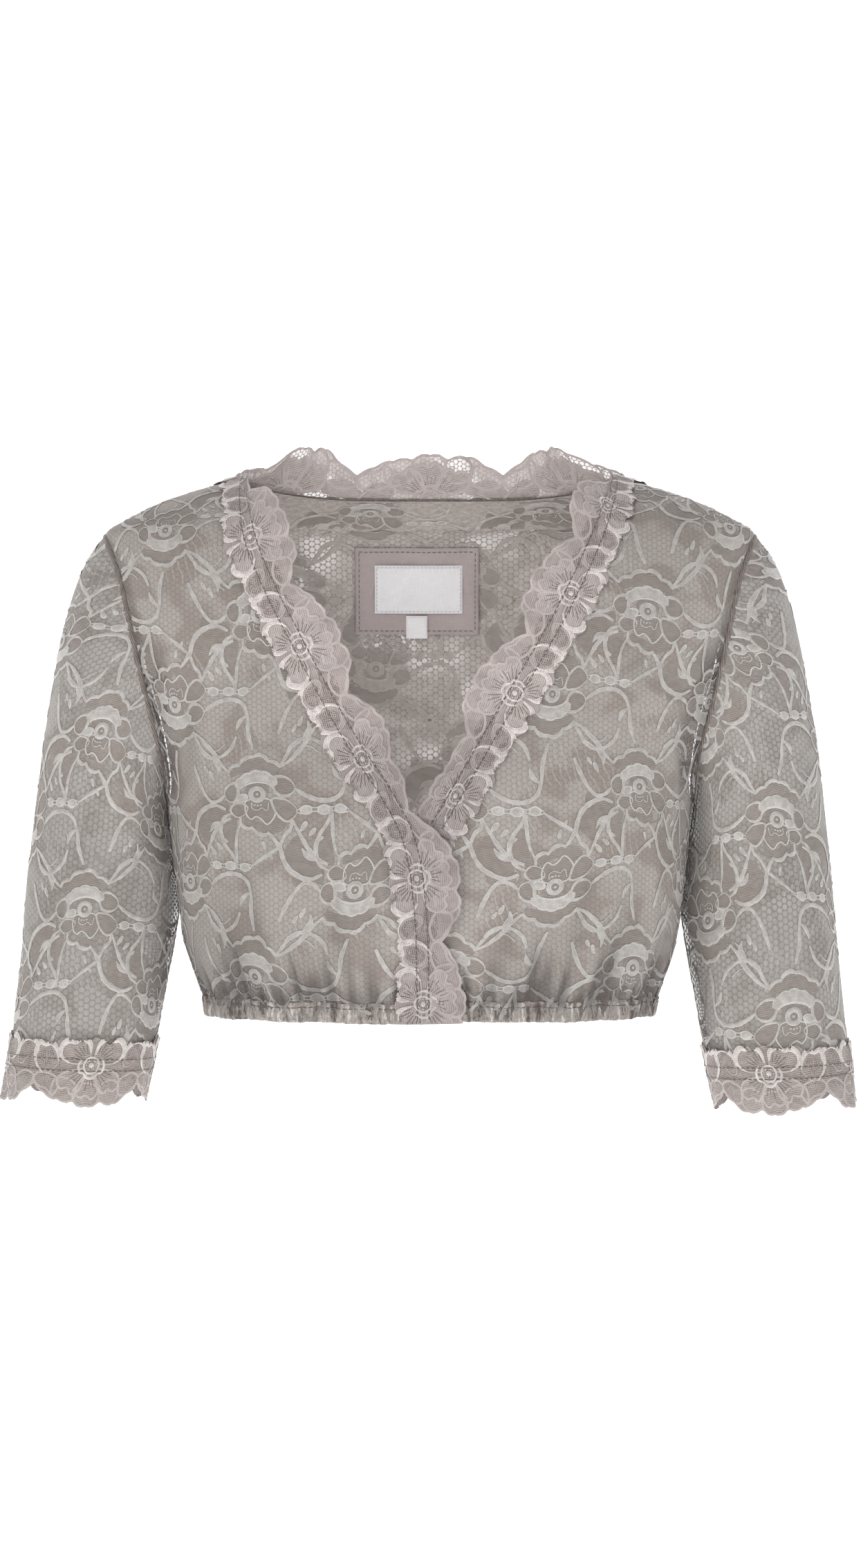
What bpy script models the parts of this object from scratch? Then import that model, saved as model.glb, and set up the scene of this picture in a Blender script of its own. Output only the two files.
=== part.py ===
# Short dirndl blouse of lace: two fronts that cross under a deep V neck, a
# back, set-in sleeves, scalloped trims and an elastic hem, filled out as worn.
# Metres, +Z up, -Y is the front, +X is the wearer's left.  The origin is the
# middle of the neck at the height where the shoulders carry the blouse.
import math

import bmesh
import bpy
import numpy as np
from mathutils import Vector

for old in list(bpy.data.objects):
    bpy.data.objects.remove(old, do_unlink=True)

# ------------------------------------------------------------ dimensions
WALL = 0.0012            # lace panel with its fine mesh
TRIM_WALL = 0.0012       # scalloped trim
LABEL_WALL = 0.0010      # label, tag and patch
SEAM = 0.0004            # gap between two panels at a seam
LIE = 0.0009             # gap under a trim that lies on a panel
NECK_TOP = 0.0045        # height of the shoulder line at the neck
NECK_HALF = 0.1120       # half width of the neck at the shoulder line
SHOULDER_TIP = -0.0310   # height of the shoulder tip
UNDERARM = -0.1950       # height of the underarm point
BACK_NECK = -0.0050      # height of the back neckline at the middle
CASING_TOP = -0.3185     # upper edge of the elastic casing
HEM = -0.3305            # lower edge of the garment
CASING_WALL = 0.0024     # casing: two layers and the elastic
OVERLAP_INSET = 0.0046   # how far the under front sinks below the upper one
SLEEVE_GAP = 0.0006      # gap between armhole edge and sleeve
REPEAT = 0.078           # length of one scallop group of the trim
REPEAT_LEFT = 0.0705     # the same on the left front
REPEAT_BACK = 0.093      # the same, eased round the back neck
SLEEVE_DROP = 0.0050     # how much lower the left sleeve hangs at its end

COLUMNS_FRONT = 13
COLUMNS_BACK = 11        # each half
ROWS_ARMHOLE = 10
ROWS_SIDE = 8
TRIM_STEP = 0.0098       # length of one trim facet

# Body form: one row for each level.  half_width at the side, front and back
# depth from the side line, power 2 is an ellipse and more is squarer.
FORM_COLUMNS = ("z", "half_width", "front", "back", "power")
FORM = (
    (0.0045, 0.1120, 0.0330, 0.0420, 2.00),
    (-0.0043, 0.1460, 0.0480, 0.0570, 2.00),
    (-0.0129, 0.1700, 0.0580, 0.0660, 2.05),
    (-0.0215, 0.1870, 0.0690, 0.0730, 2.10),
    (-0.0310, 0.2015, 0.0780, 0.0790, 2.15),
    (-0.0450, 0.2040, 0.0865, 0.0850, 2.20),
    (-0.0700, 0.2010, 0.0960, 0.0910, 2.30),
    (-0.1000, 0.1945, 0.1040, 0.0935, 2.35),
    (-0.1500, 0.1760, 0.1130, 0.0930, 2.40),
    (-0.1900, 0.1635, 0.1170, 0.0905, 2.40),
    (-0.2350, 0.1590, 0.1135, 0.0870, 2.35),
    (-0.2700, 0.1544, 0.1060, 0.0830, 2.30),
    (-0.3050, 0.1460, 0.0955, 0.0805, 2.25),
    (-0.3305, 0.1385, 0.0885, 0.0795, 2.20),
)

# Front edges: where the cloth of each front ends, from the shoulder to the
# hem.  The right front lies over the left one below the V.
EDGE_COLUMNS = ("z", "right", "left")
EDGE = (
    (0.0045, -0.1120, 0.1120),
    (-0.0050, -0.1128, 0.1105),
    (-0.0300, -0.1100, 0.1032),
    (-0.0406, -0.1075, 0.0990),
    (-0.0733, -0.0939, 0.0838),
    (-0.1018, -0.0790, 0.0686),
    (-0.1350, -0.0614, 0.0488),
    (-0.1665, -0.0430, 0.0304),
    (-0.1932, -0.0254, 0.0150),
    (-0.2177, -0.0131, 0.0012),
    (-0.2390, -0.0082, -0.0075),
    (-0.2750, -0.0050, -0.0120),
    (-0.3305, -0.0040, -0.0120),
)

# Armhole seam: distance from the middle, seen from the front and from behind.
ARMHOLE_COLUMNS = ("z", "front", "back")
ARMHOLE = (
    (-0.0310, 0.2015, 0.2015),
    (-0.0490, 0.1925, 0.1945),
    (-0.0690, 0.1862, 0.1895),
    (-0.0900, 0.1815, 0.1850),
    (-0.1200, 0.1750, 0.1780),
    (-0.1450, 0.1692, 0.1705),
    (-0.1700, 0.1640, 0.1650),
    (-0.1880, 0.1624, 0.1626),
    (-0.1950, 0.1626, 0.1626),
)

# Sleeve: one row for each ring from the armhole to the end.  The outer and
# the inner line are seen from the front, front and back are the depths.
SLEEVE_COLUMNS = ("outer_x", "outer_z", "inner_x", "inner_z", "middle_y", "half_depth")
SLEEVE = (
    (0.2018, -0.0310, 0.1632, -0.1950, 0.001, 0.0530),
    (0.2135, -0.0470, 0.1627, -0.2035, 0.005, 0.0560),
    (0.2222, -0.0665, 0.1617, -0.2130, 0.008, 0.0570),
    (0.2310, -0.0990, 0.1601, -0.2290, 0.011, 0.0565),
    (0.2374, -0.1330, 0.1582, -0.2450, 0.014, 0.0555),
    (0.2430, -0.1680, 0.1568, -0.2620, 0.016, 0.0540),
    (0.2470, -0.2050, 0.1588, -0.2800, 0.014, 0.0525),
    (0.2503, -0.2385, 0.1618, -0.2980, 0.010, 0.0510),
    (0.2528, -0.2720, 0.1648, -0.3150, 0.006, 0.0495),
    (0.2555, -0.3020, 0.1675, -0.3310, 0.003, 0.0480),
    (0.2583, -0.3310, 0.1702, -0.3465, 0.000, 0.0465),
    (0.2608, -0.3560, 0.1727, -0.3590, -0.003, 0.0450),
)

# One repeat of the trim: how far it reaches from its stitch line, on its
# free side and on the side that is sewn down.
TRIM_COLUMNS = ("along", "free", "sewn")
TRIM = (
    (0.00, 0.0125, 0.0150),
    (0.14, 0.0190, 0.0125),
    (0.26, 0.0225, 0.0165),
    (0.38, 0.0235, 0.0135),
    (0.50, 0.0265, 0.0170),
    (0.62, 0.0235, 0.0135),
    (0.74, 0.0250, 0.0165),
    (0.88, 0.0185, 0.0125),
    (1.00, 0.0125, 0.0150),
)

# Large soft folds above the hem: where each runs round the body (degrees from
# the middle front), how deep and how wide it is and how high it reaches.
FOLD_COLUMNS = ("around_deg", "depth", "width_deg", "height")
FOLDS = (
    (-72, 0.0016, 8, 0.060),
    (-50, 0.0022, 9, 0.085),
    (-27, 0.0018, 7, 0.055),
    (24, 0.0020, 8, 0.070),
    (46, 0.0017, 8, 0.095),
    (69, 0.0021, 9, 0.060),
    (112, 0.0018, 9, 0.070),
    (139, 0.0021, 9, 0.090),
    (168, 0.0016, 8, 0.055),
    (-160, 0.0020, 9, 0.080),
    (-131, 0.0017, 8, 0.060),
    (-108, 0.0021, 9, 0.085),
)

# Label patch, woven label and size tag inside the back neck: middle, width,
# height, and how many layers lie between each and the back panel.
LABEL_COLUMNS = ("name", "x", "top", "width", "height", "layers", "cells_x", "cells_z")
LABELS = (
    ("label_patch", -0.0085, -0.0338, 0.0800, 0.0560, 0, 8, 5),
    ("woven_label", -0.0075, -0.0445, 0.0570, 0.0315, 1, 6, 3),
    ("size_tag", -0.0087, -0.0775, 0.0138, 0.0148, 1, 2, 2),
)

COLOURS = {
    "lace_front": (0.40, 0.36, 0.33),
    "lace_back": (0.34, 0.31, 0.29),
    "lace_sleeve": (0.40, 0.38, 0.36),
    "trim": (0.50, 0.44, 0.42),
    "casing": (0.33, 0.30, 0.28),
    "patch": (0.45, 0.39, 0.38),
    "label": (0.70, 0.69, 0.71),
}


# ------------------------------------------------------------ curves
def curve(table, column):
    """Smooth curve through one column of a table, without overshoot."""
    order = sorted(range(len(table)), key=lambda i: table[i][0])
    xs = np.array([table[i][0] for i in order])
    ys = np.array([table[i][column] for i in order])
    step = np.diff(xs)
    slope = np.diff(ys) / step
    tangent = np.zeros(len(xs))
    tangent[0], tangent[-1] = slope[0], slope[-1]
    for i in range(1, len(xs) - 1):
        if slope[i - 1] * slope[i] > 0:
            w1, w2 = 2 * step[i] + step[i - 1], step[i] + 2 * step[i - 1]
            tangent[i] = (w1 + w2) / (w1 / slope[i - 1] + w2 / slope[i])

    def value(x):
        i = int(np.clip(np.searchsorted(xs, x) - 1, 0, len(step) - 1))
        t = (x - xs[i]) / step[i]
        if t < 0 or t > 1:
            end = 0 if t < 0 else -1
            return float(ys[end] + tangent[end] * (x - xs[end]))
        h = step[i]
        return float(ys[i] * (2 * t**3 - 3 * t**2 + 1) + ys[i + 1] * (3 * t**2 - 2 * t**3)
                     + h * tangent[i] * (t**3 - 2 * t**2 + t) + h * tangent[i + 1] * (t**3 - t**2))

    return value


half_width, front_depth, back_depth, power = (curve(FORM, k) for k in (1, 2, 3, 4))
edge_right, edge_left = curve(EDGE, 1), curve(EDGE, 2)
arm_front, arm_back = curve(ARMHOLE, 1), curve(ARMHOLE, 2)
trim_free, trim_sewn = curve(TRIM, 1), curve(TRIM, 2)


def smoothstep(low, high, x):
    """0 at low, 1 at high, in either order."""
    t = min(1.0, max(0.0, (x - low) / (high - low)))
    return t * t * (3 - 2 * t)


# ------------------------------------------------------------ body form
def section_point(theta, z):
    """Point of the body form: theta 0 is the middle front, 90 deg the left side."""
    a, n = half_width(z), power(z)
    s, c = math.sin(theta), math.cos(theta)
    d = front_depth(z) if c > 0 else back_depth(z)
    x = a * math.copysign(abs(s) ** (2 / n), s)
    y = -d * math.copysign(abs(c) ** (2 / n), c)
    return Vector((x, y, z))


def implicit(p):
    a, n = half_width(p.z), power(p.z)
    d = front_depth(p.z) if p.y < 0 else back_depth(p.z)
    return (abs(p.x) / a) ** n + (abs(p.y) / d) ** n - 1


def gradient(p):
    h = 0.0004
    out = []
    for axis in range(3):
        q, r = p.copy(), p.copy()
        q[axis] += h
        r[axis] -= h
        out.append((implicit(q) - implicit(r)) / (2 * h))
    return Vector(out)


def normal_at(p):
    return gradient(p).normalized()


def onto_form(p):
    for _ in range(12):
        g = gradient(p)
        p = p - g * (implicit(p) / g.length_squared)
    return p


def fold_depth(theta, z):
    """Soft troughs above the elastic hem."""
    deg = math.degrees(theta)
    total = 0.0
    for around, depth, width, height in FOLDS:
        off = (deg - around + 180) % 360 - 180
        rise = (z - CASING_TOP) / height
        if rise < 1:
            total += depth * math.exp(-(off / width) ** 2) * (1 - smoothstep(0, 1, rise))
    return total


def quarter(z, front):
    """Lengths round one quarter of a section, from the middle to the side."""
    thetas = np.linspace(0, math.pi / 2, 61)
    if not front:
        thetas = math.pi - thetas
    points = [section_point(t, z) for t in thetas]
    lengths = [0.0]
    for p, q in zip(points, points[1:]):
        lengths.append(lengths[-1] + (q - p).length)
    return np.array(thetas), np.array(lengths)


def theta_of_x(x, z, front=True):
    share = min(1.0, abs(x) / half_width(z))
    theta = math.asin(share ** (power(z) / 2))
    return math.copysign(theta if front else math.pi - theta, x)


def around_of_theta(theta, z, front):
    thetas, lengths = quarter(z, front)
    t = abs(theta)
    value = np.interp(t, thetas, lengths) if front else np.interp(-t, -thetas, lengths)
    return math.copysign(float(value), theta)


def theta_of_around(s, z, front):
    thetas, lengths = quarter(z, front)
    s_abs = abs(s)
    if s_abs > lengths[-1]:
        s_abs = lengths[-1]
    return math.copysign(float(np.interp(s_abs, lengths, thetas)), s)


def side_theta(z, front):
    """The side seam and shoulder seam, half a seam gap off the side line."""
    d = front_depth(z) if front else back_depth(z)
    c = (0.5 * SEAM / d) ** (power(z) / 2)
    return math.pi / 2 - math.asin(c) if front else math.pi / 2 + math.asin(c)


def inset_left(p):
    """The left front sinks under the right one near the middle."""
    if p.y > 0:
        return 0.0
    return OVERLAP_INSET * (1 - smoothstep(0.020, 0.062, p.x))


def form_point(s, z, front, inset=False):
    """Outer face of a panel from its length round the body and its height."""
    theta = theta_of_around(s, z, front)
    p = section_point(theta, z)
    n = normal_at(p)
    depth = fold_depth(theta, z)
    if inset:
        depth += inset_left(p)
    return p - n * depth, n


# ------------------------------------------------------------ meshes
def material(name, colour):
    mat = bpy.data.materials.get(name) or bpy.data.materials.new(name)
    mat.use_nodes = True
    shader = mat.node_tree.nodes["Principled BSDF"]
    shader.inputs["Base Color"].default_value = (*colour, 1)
    shader.inputs["Roughness"].default_value = 0.8
    shader.inputs["Metallic"].default_value = 0.0
    return mat


def walled(name, outer, inner, colour, closed=False):
    """A closed wall between two grids of points, rows by columns."""
    mesh = bpy.data.meshes.new(name)
    bm = bmesh.new()
    rows, cols = len(outer), len(outer[0])
    face = [[bm.verts.new(p) for p in row] for row in outer]
    lining = [[bm.verts.new(p) for p in row] for row in inner]
    last = cols if closed else cols - 1
    for i in range(rows - 1):
        for j in range(last):
            k = (j + 1) % cols
            bm.faces.new((face[i][j], face[i][k], face[i + 1][k], face[i + 1][j]))
            bm.faces.new((lining[i][j], lining[i + 1][j], lining[i + 1][k], lining[i][k]))
    for j in range(last):
        k = (j + 1) % cols
        bm.faces.new((face[0][j], lining[0][j], lining[0][k], face[0][k]))
        bm.faces.new((face[-1][j], face[-1][k], lining[-1][k], lining[-1][j]))
    if not closed:
        for i in range(rows - 1):
            bm.faces.new((face[i][0], face[i + 1][0], lining[i + 1][0], lining[i][0]))
            bm.faces.new((face[i][-1], lining[i][-1], lining[i + 1][-1], face[i + 1][-1]))
    bmesh.ops.triangulate(bm, faces=bm.faces[:])
    bmesh.ops.recalc_face_normals(bm, faces=bm.faces[:])
    bm.to_mesh(mesh)
    bm.free()
    mesh.shade_smooth()
    mesh.set_sharp_from_angle(angle=math.radians(50))
    ob = bpy.data.objects.new(name, mesh)
    ob.data.materials.append(material(colour, COLOURS[colour]))
    bpy.context.scene.collection.objects.link(ob)
    return ob


def resample(points, count):
    """The polyline again, with count equal lengths."""
    lengths = [0.0]
    for p, q in zip(points, points[1:]):
        lengths.append(lengths[-1] + (Vector(q) - Vector(p)).length)
    stations = np.linspace(0, lengths[-1], count + 1)
    data = np.array([tuple(p) for p in points])
    return [tuple(np.interp(t, lengths, data[:, k]) for k in range(data.shape[1])) for t in stations]


def coons(left, right, top, bottom, u, v):
    """Point of the patch between four edges, in flat cloth coordinates."""
    rows, cols = len(left) - 1, len(top) - 1
    i, j = u, v
    fu, fv = j / cols, i / rows
    point = []
    for k in range(2):
        edge = ((1 - fu) * left[i][k] + fu * right[i][k] + (1 - fv) * top[j][k] + fv * bottom[j][k])
        corner = ((1 - fu) * (1 - fv) * top[0][k] + fu * (1 - fv) * top[-1][k]
                  + (1 - fu) * fv * bottom[0][k] + fu * fv * bottom[-1][k])
        point.append(edge - corner)
    return point


def side_edge(sign, front):
    """Armhole from the shoulder tip to the underarm, then the side seam."""
    arm = arm_front if front else arm_back
    points = []
    for k in range(ROWS_ARMHOLE + 1):
        z = SHOULDER_TIP + (UNDERARM - SHOULDER_TIP) * k / ROWS_ARMHOLE
        if k in (0, ROWS_ARMHOLE):
            theta = side_theta(z, front)
        else:
            theta = theta_of_x(arm(z), z, front)
        points.append((sign * around_of_theta(abs(theta), z, front), z))
    for k in range(1, ROWS_SIDE + 1):
        z = UNDERARM + (CASING_TOP - UNDERARM) * k / ROWS_SIDE
        points.append((sign * around_of_theta(side_theta(z, front), z, front), z))
    return points


def shoulder_edge(sign, front, start, count):
    """Shoulder seam from the neck to the shoulder tip."""
    dense = []
    for k in range(41):
        z = start + (SHOULDER_TIP - start) * k / 40
        dense.append((sign * around_of_theta(side_theta(z, front), z, front), z))
    return dense if count is None else resample(dense, count)


def flat_grid_front(sign):
    edge = edge_left if sign > 0 else edge_right
    start = NECK_TOP - 0.0022
    rows = ROWS_ARMHOLE + ROWS_SIDE
    dense = []
    for k in range(161):
        z = start + (CASING_TOP - start) * k / 160
        dense.append((around_of_theta(theta_of_x(edge(z), z), z, True), z))
    inner = resample(dense, rows)
    outer = side_edge(sign, True)
    top = shoulder_edge(sign, True, start, COLUMNS_FRONT)
    top[0], top[-1] = inner[0], outer[0]
    bottom = [(inner[-1][0] + (outer[-1][0] - inner[-1][0]) * j / COLUMNS_FRONT, CASING_TOP)
              for j in range(COLUMNS_FRONT + 1)]
    return [[coons(inner, outer, top, bottom, i, j) for j in range(COLUMNS_FRONT + 1)]
            for i in range(rows + 1)]


def back_neck_point(share):
    """Back neckline: share 0 is the middle, 1 the shoulder seam."""
    theta = math.pi - share * (math.pi - side_theta(NECK_TOP - 0.0022, False))
    z = BACK_NECK + (NECK_TOP - 0.0022 - BACK_NECK) * smoothstep(0.25, 1.0, share)
    return theta, z


def flat_grid_back_half():
    rows = ROWS_ARMHOLE + ROWS_SIDE
    dense = []
    for k in range(41):
        theta, z = back_neck_point(k / 40)
        dense.append((around_of_theta(theta, z, False), z))
    dense += shoulder_edge(1, False, NECK_TOP - 0.0022, None)[1:]
    outer = side_edge(1, False)
    top = resample(dense, COLUMNS_BACK)
    top[-1] = outer[0]
    inner = [(0.0, BACK_NECK + (CASING_TOP - BACK_NECK) * i / rows) for i in range(rows + 1)]
    bottom = [(outer[-1][0] * j / COLUMNS_BACK, CASING_TOP) for j in range(COLUMNS_BACK + 1)]
    return [[coons(inner, outer, top, bottom, i, j) for j in range(COLUMNS_BACK + 1)]
            for i in range(rows + 1)]


def make_panel(name, flat, front, inset, colour):
    outer, inner = [], []
    for row in flat:
        points = [form_point(s, z, front, inset) for s, z in row]
        outer.append([p for p, n in points])
        inner.append([p - n * WALL for p, n in points])
    return walled(name, outer, inner, colour)


def make_casing(name, flat_row, front, inset):
    """Elastic casing under a panel, as wide as the panel's lower edge."""
    outer, inner = [], []
    for z in (CASING_TOP - SEAM, HEM):
        points = []
        for s, _ in flat_row:
            share = s / around_of_theta(side_theta(CASING_TOP, front), CASING_TOP, front)
            around = share * around_of_theta(side_theta(z, front), z, front)
            points.append(form_point(around, z, front, inset))
        outer.append([p + n * (0.25 * CASING_WALL) for p, n in points])
        inner.append([p - n * (0.75 * CASING_WALL) for p, n in points])
    return walled(name, outer, inner, "casing")


# ------------------------------------------------------------ sleeves
def loop_point(k):
    """Armhole loop: 0 is the shoulder tip, then the front, the underarm, the back."""
    count = 2 * ROWS_ARMHOLE
    k %= count
    front = k <= ROWS_ARMHOLE
    row = k if front else count - k
    z = SHOULDER_TIP + (UNDERARM - SHOULDER_TIP) * row / ROWS_ARMHOLE
    if row in (0, ROWS_ARMHOLE):
        return section_point(math.pi / 2, z)
    x = (arm_front if front else arm_back)(z)
    return section_point(theta_of_x(x, z, front), z)


def sleeve_ring(t, angle):
    """Ellipse of the sleeve at ring t; angle 0 is the outer line, 90 deg the front."""
    i = min(int(t), len(SLEEVE) - 2)
    f = t - i
    row = [(1 - f) * p + f * q for p, q in zip(SLEEVE[i], SLEEVE[i + 1])]
    ox, oz, ix, iz, middle, half = row
    mid = Vector(((ox + ix) / 2, middle, (oz + iz) / 2))
    across = Vector(((ox - ix) / 2, 0, (oz - iz) / 2))
    return mid + across * math.cos(angle) + Vector((0, -half, 0)) * math.sin(angle)


def loop_angle(k):
    """Angle of the sleeve ellipse that faces a point of the armhole loop."""
    p = loop_point(k)
    ox, oz, ix, iz, middle, half = SLEEVE[0]
    mid = Vector(((ox + ix) / 2, middle, (oz + iz) / 2))
    across = Vector(((ox - ix) / 2, 0, (oz - iz) / 2))
    q = p - mid
    angle = math.atan2(-q.y / half, q.dot(across) / across.length_squared)
    return angle if k <= ROWS_ARMHOLE or angle > 0 else angle + 2 * math.pi


def sleeve_point(t, k):
    """Point of the sleeve: t counts rings, k counts round the armhole."""
    count = 2 * ROWS_ARMHOLE
    low = int(math.floor(k))
    f = k - low
    a0, a1 = loop_angle(low % count), loop_angle((low + 1) % count)
    if a1 < a0:
        a1 += 2 * math.pi
    even = 2 * math.pi * k / count
    own = a0 + f * (a1 - a0)
    blend = smoothstep(0.0, 5.0, t)
    angle = own * (1 - blend) + even * blend
    p = sleeve_ring(t, angle)
    if t < 4:
        q0, q1 = loop_point(low), loop_point(low + 1)
        target = q0.lerp(q1, f) + Vector((SLEEVE_GAP, 0, 0))
        p += (target - sleeve_ring(0, own)) * (1 - smoothstep(0.0, 4.0, t))
    return p


def sleeve_frame(t, k):
    """Point and outward normal of the sleeve, on the wearer's left."""
    h = 0.05
    low = max(0.0, t - h)
    along = sleeve_point(t + h, k) - sleeve_point(low, k)
    around = sleeve_point(t, k + h) - sleeve_point(t, k - h)
    return sleeve_point(t, k), around.cross(along).normalized()


def mirrored(p, sign):
    """The point on its own side; the left sleeve hangs a little lower."""
    drop = SLEEVE_DROP * smoothstep(-0.200, -0.350, p.z) if sign > 0 and p.x > 0.15 else 0.0
    return Vector((p.x * sign, p.y, p.z - drop))


def make_sleeve(name, sign):
    count, rings = 2 * ROWS_ARMHOLE, len(SLEEVE) - 1
    outer, inner = [], []
    for t in range(rings + 1):
        points = [sleeve_frame(t, k) for k in range(count)]
        outer.append([mirrored(p, sign) for p, n in points])
        inner.append([mirrored(p - n * WALL, sign) for p, n in points])
    return walled(name, outer, inner, "lace_sleeve", closed=True)


def make_cuff_trim(name, sign):
    """Trim round the sleeve end: half sewn on, half hanging free."""
    last = len(SLEEVE) - 1
    count = 30
    loop = 2 * ROWS_ARMHOLE
    girth = sum((sleeve_point(last, (k + 1) % loop) - sleeve_point(last, k)).length for k in range(loop))
    repeats = max(1, round(girth / REPEAT))
    outer, inner = [[] for _ in range(4)], [[] for _ in range(4)]
    for j in range(count):
        k = loop * j / count
        along = (j / count * repeats + 0.35) % 1.0
        end, n_end = sleeve_frame(last, k)
        before = sleeve_point(last - 1, k)
        down = (end - before)
        step = down.length
        down.normalize()
        for row, reach in enumerate((-trim_sewn(along), 0.0, 0.5 * trim_free(along), trim_free(along))):
            reach += 0.0015 if reach > 0 else -0.0020
            if reach < 0:
                p, n = sleeve_frame(last + reach / step, k)
            else:
                p, n = end + down * reach, n_end
            outer[row].append(mirrored(p + n * (LIE + TRIM_WALL), sign))
            inner[row].append(mirrored(p + n * LIE, sign))
    return walled(name, outer, inner, "trim", closed=True)


# ------------------------------------------------------------ neck trims
def edge_line(edge, start, stop, inset):
    """Points of a front's edge on the form, from the shoulder down."""
    dense = []
    for k in range(401):
        f = k / 400
        z = start + (stop - start) * f * f if k < 200 else start + (stop - start) * (0.25 + (f - 0.5) * 1.5)
        theta = theta_of_x(edge(z), z)
        dense.append(section_point(theta, z))
    return dense


def free_direction(cross, p):
    """Where the free side of the trim points: flat on the front, up at the neck."""
    side = smoothstep(0.055, 0.108, abs(p.x))
    up = Vector((-0.50 * side * math.copysign(1, p.x), -0.12 * (1 - side), 0.84 + 0.16 * (1 - side)))
    stand = smoothstep(-0.060, 0.002, p.z) if p.y < 0 else 1.0
    return (cross * (1 - stand) + up.normalized() * stand).normalized(), stand


def tuck(p):
    """The free side is folded under where the two fronts meet."""
    return 1 - 0.42 * smoothstep(-0.158, -0.182, p.z) * (1 - smoothstep(-0.205, -0.232, p.z)) if p.y < 0 else 1.0


def at_shoulder(wide, p):
    """The free side is narrow over the shoulder seam and tallest just behind it."""
    if p.y < 0:
        return wide * (1 - 0.55 * smoothstep(-0.014, 0.002, p.z))
    return wide + 0.003 + 0.0045 * smoothstep(0.045, 0.070, abs(p.x)) - 0.0135 * smoothstep(0.100, 0.112, abs(p.x))


def make_neck_trim(name, line, inward, inset, along_start, lift, repeat=REPEAT):
    """Trim along a neckline: sewn side on the panel, free side beyond its edge."""
    length = sum((q - p).length for p, q in zip(line, line[1:]))
    count = max(4, round(length / TRIM_STEP))
    stations = [Vector(p) for p in resample(line, count)]
    outer, inner = [[] for _ in range(4)], [[] for _ in range(4)]
    for i, p in enumerate(stations):
        q0, q1 = stations[max(0, i - 1)], stations[min(count, i + 1)]
        tangent = (q1 - q0).normalized()
        n = normal_at(p)
        cross = tangent.cross(n).normalized()
        if cross.dot(inward(p)) < 0:
            cross = -cross
        along = (along_start + length * i / count / repeat) % 1.0
        free, stand = free_direction(cross, p)
        free_normal = n if stand < 0.01 else tangent.cross(free).normalized()
        if free_normal.dot(n) < 0:
            free_normal = -free_normal
        wide = at_shoulder(trim_free(along) * tuck(p), p)
        for row, reach in enumerate((-trim_sewn(along), 0.0, 0.5 * wide, wide)):
            if reach < 0:
                base = onto_form(p + cross * reach)
                normal = normal_at(base)
            else:
                base = p + free * reach
                normal = free_normal if reach > 0 else (n + free_normal).normalized()
                if stand < 0.5:
                    soft = onto_form(base.copy())
                    base = base.lerp(soft, 1 - 2 * stand)
            drop = (inset_left(base) if inset else 0.0) - lift(base)
            outer[row].append(base + normal * (LIE + TRIM_WALL - drop))
            inner[row].append(base + normal * (LIE - drop))
    return walled(name, outer, inner, "trim")


def over_casing(p):
    """The trim steps out where it crosses the thicker casing."""
    return 0.0006 * smoothstep(-0.300, -0.316, p.z) if p.z > -0.316 else 0.0006


def flat_lift(p):
    return 0.0


# ------------------------------------------------------------ labels
def make_label(row):
    name, x0, top, width, height, layers, nx, nz = row
    start = WALL + LIE + layers * (LABEL_WALL + LIE)
    outer, inner = [], []
    for i in range(nz + 1):
        z = top - height * i / nz
        row_out, row_in = [], []
        for j in range(nx + 1):
            x = x0 - width / 2 + width * j / nx
            p = section_point(theta_of_x(x, z, False), z)
            n = normal_at(p)
            row_out.append(p - n * start)
            row_in.append(p - n * (start + LABEL_WALL))
        outer.append(row_out)
        inner.append(row_in)
    return walled(name, outer, inner, "patch" if layers == 0 else "label")


# ------------------------------------------------------------ the blouse
flat_right, flat_left = flat_grid_front(-1), flat_grid_front(1)
half_back = flat_grid_back_half()
flat_back = [[(-s, z) for s, z in reversed(row[1:])] + row for row in half_back]

make_panel("front_right", flat_right, True, False, "lace_front")
make_panel("front_left", flat_left, True, True, "lace_front")
make_panel("back", flat_back, False, False, "lace_back")
make_casing("hem_right", flat_right[-1], True, False)
make_casing("hem_left", flat_left[-1], True, True)
make_casing("hem_back", flat_back[-1], False, False)
make_sleeve("sleeve_left", 1)
make_sleeve("sleeve_right", -1)
make_cuff_trim("cuff_trim_left", 1)
make_cuff_trim("cuff_trim_right", -1)

line_right = edge_line(edge_right, NECK_TOP, HEM + 0.0010, False)
line_left = edge_line(edge_left, NECK_TOP, -0.2150, True)
back_line = []
for k in range(-60, 61):
    theta, z = back_neck_point(abs(k) / 60)
    back_line.append(section_point(math.copysign(theta, k) if k else math.pi, z))
gap = SEAM
line_right = [p for p in line_right if p.y < -gap]
line_left = [p for p in line_left if p.y < -gap]
back_line = [p for p in back_line if p.y > gap]

make_neck_trim("neck_trim_right", line_right, lambda p: Vector((1, 0, 0.3)), False, 0.38, over_casing)
make_neck_trim("neck_trim_left", line_left, lambda p: Vector((-1, 0, 0.3)), True, 0.638, flat_lift,
               REPEAT_LEFT)
back_length = sum((q - p).length for p, q in zip(back_line, back_line[1:]))
make_neck_trim("neck_trim_back", back_line, lambda p: Vector((-p.x * 4, -p.y * 4, 1)), False,
               0.5 - 0.5 * back_length / REPEAT_BACK, flat_lift, REPEAT_BACK)

for label in LABELS:
    make_label(label)
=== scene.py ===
import math

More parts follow.
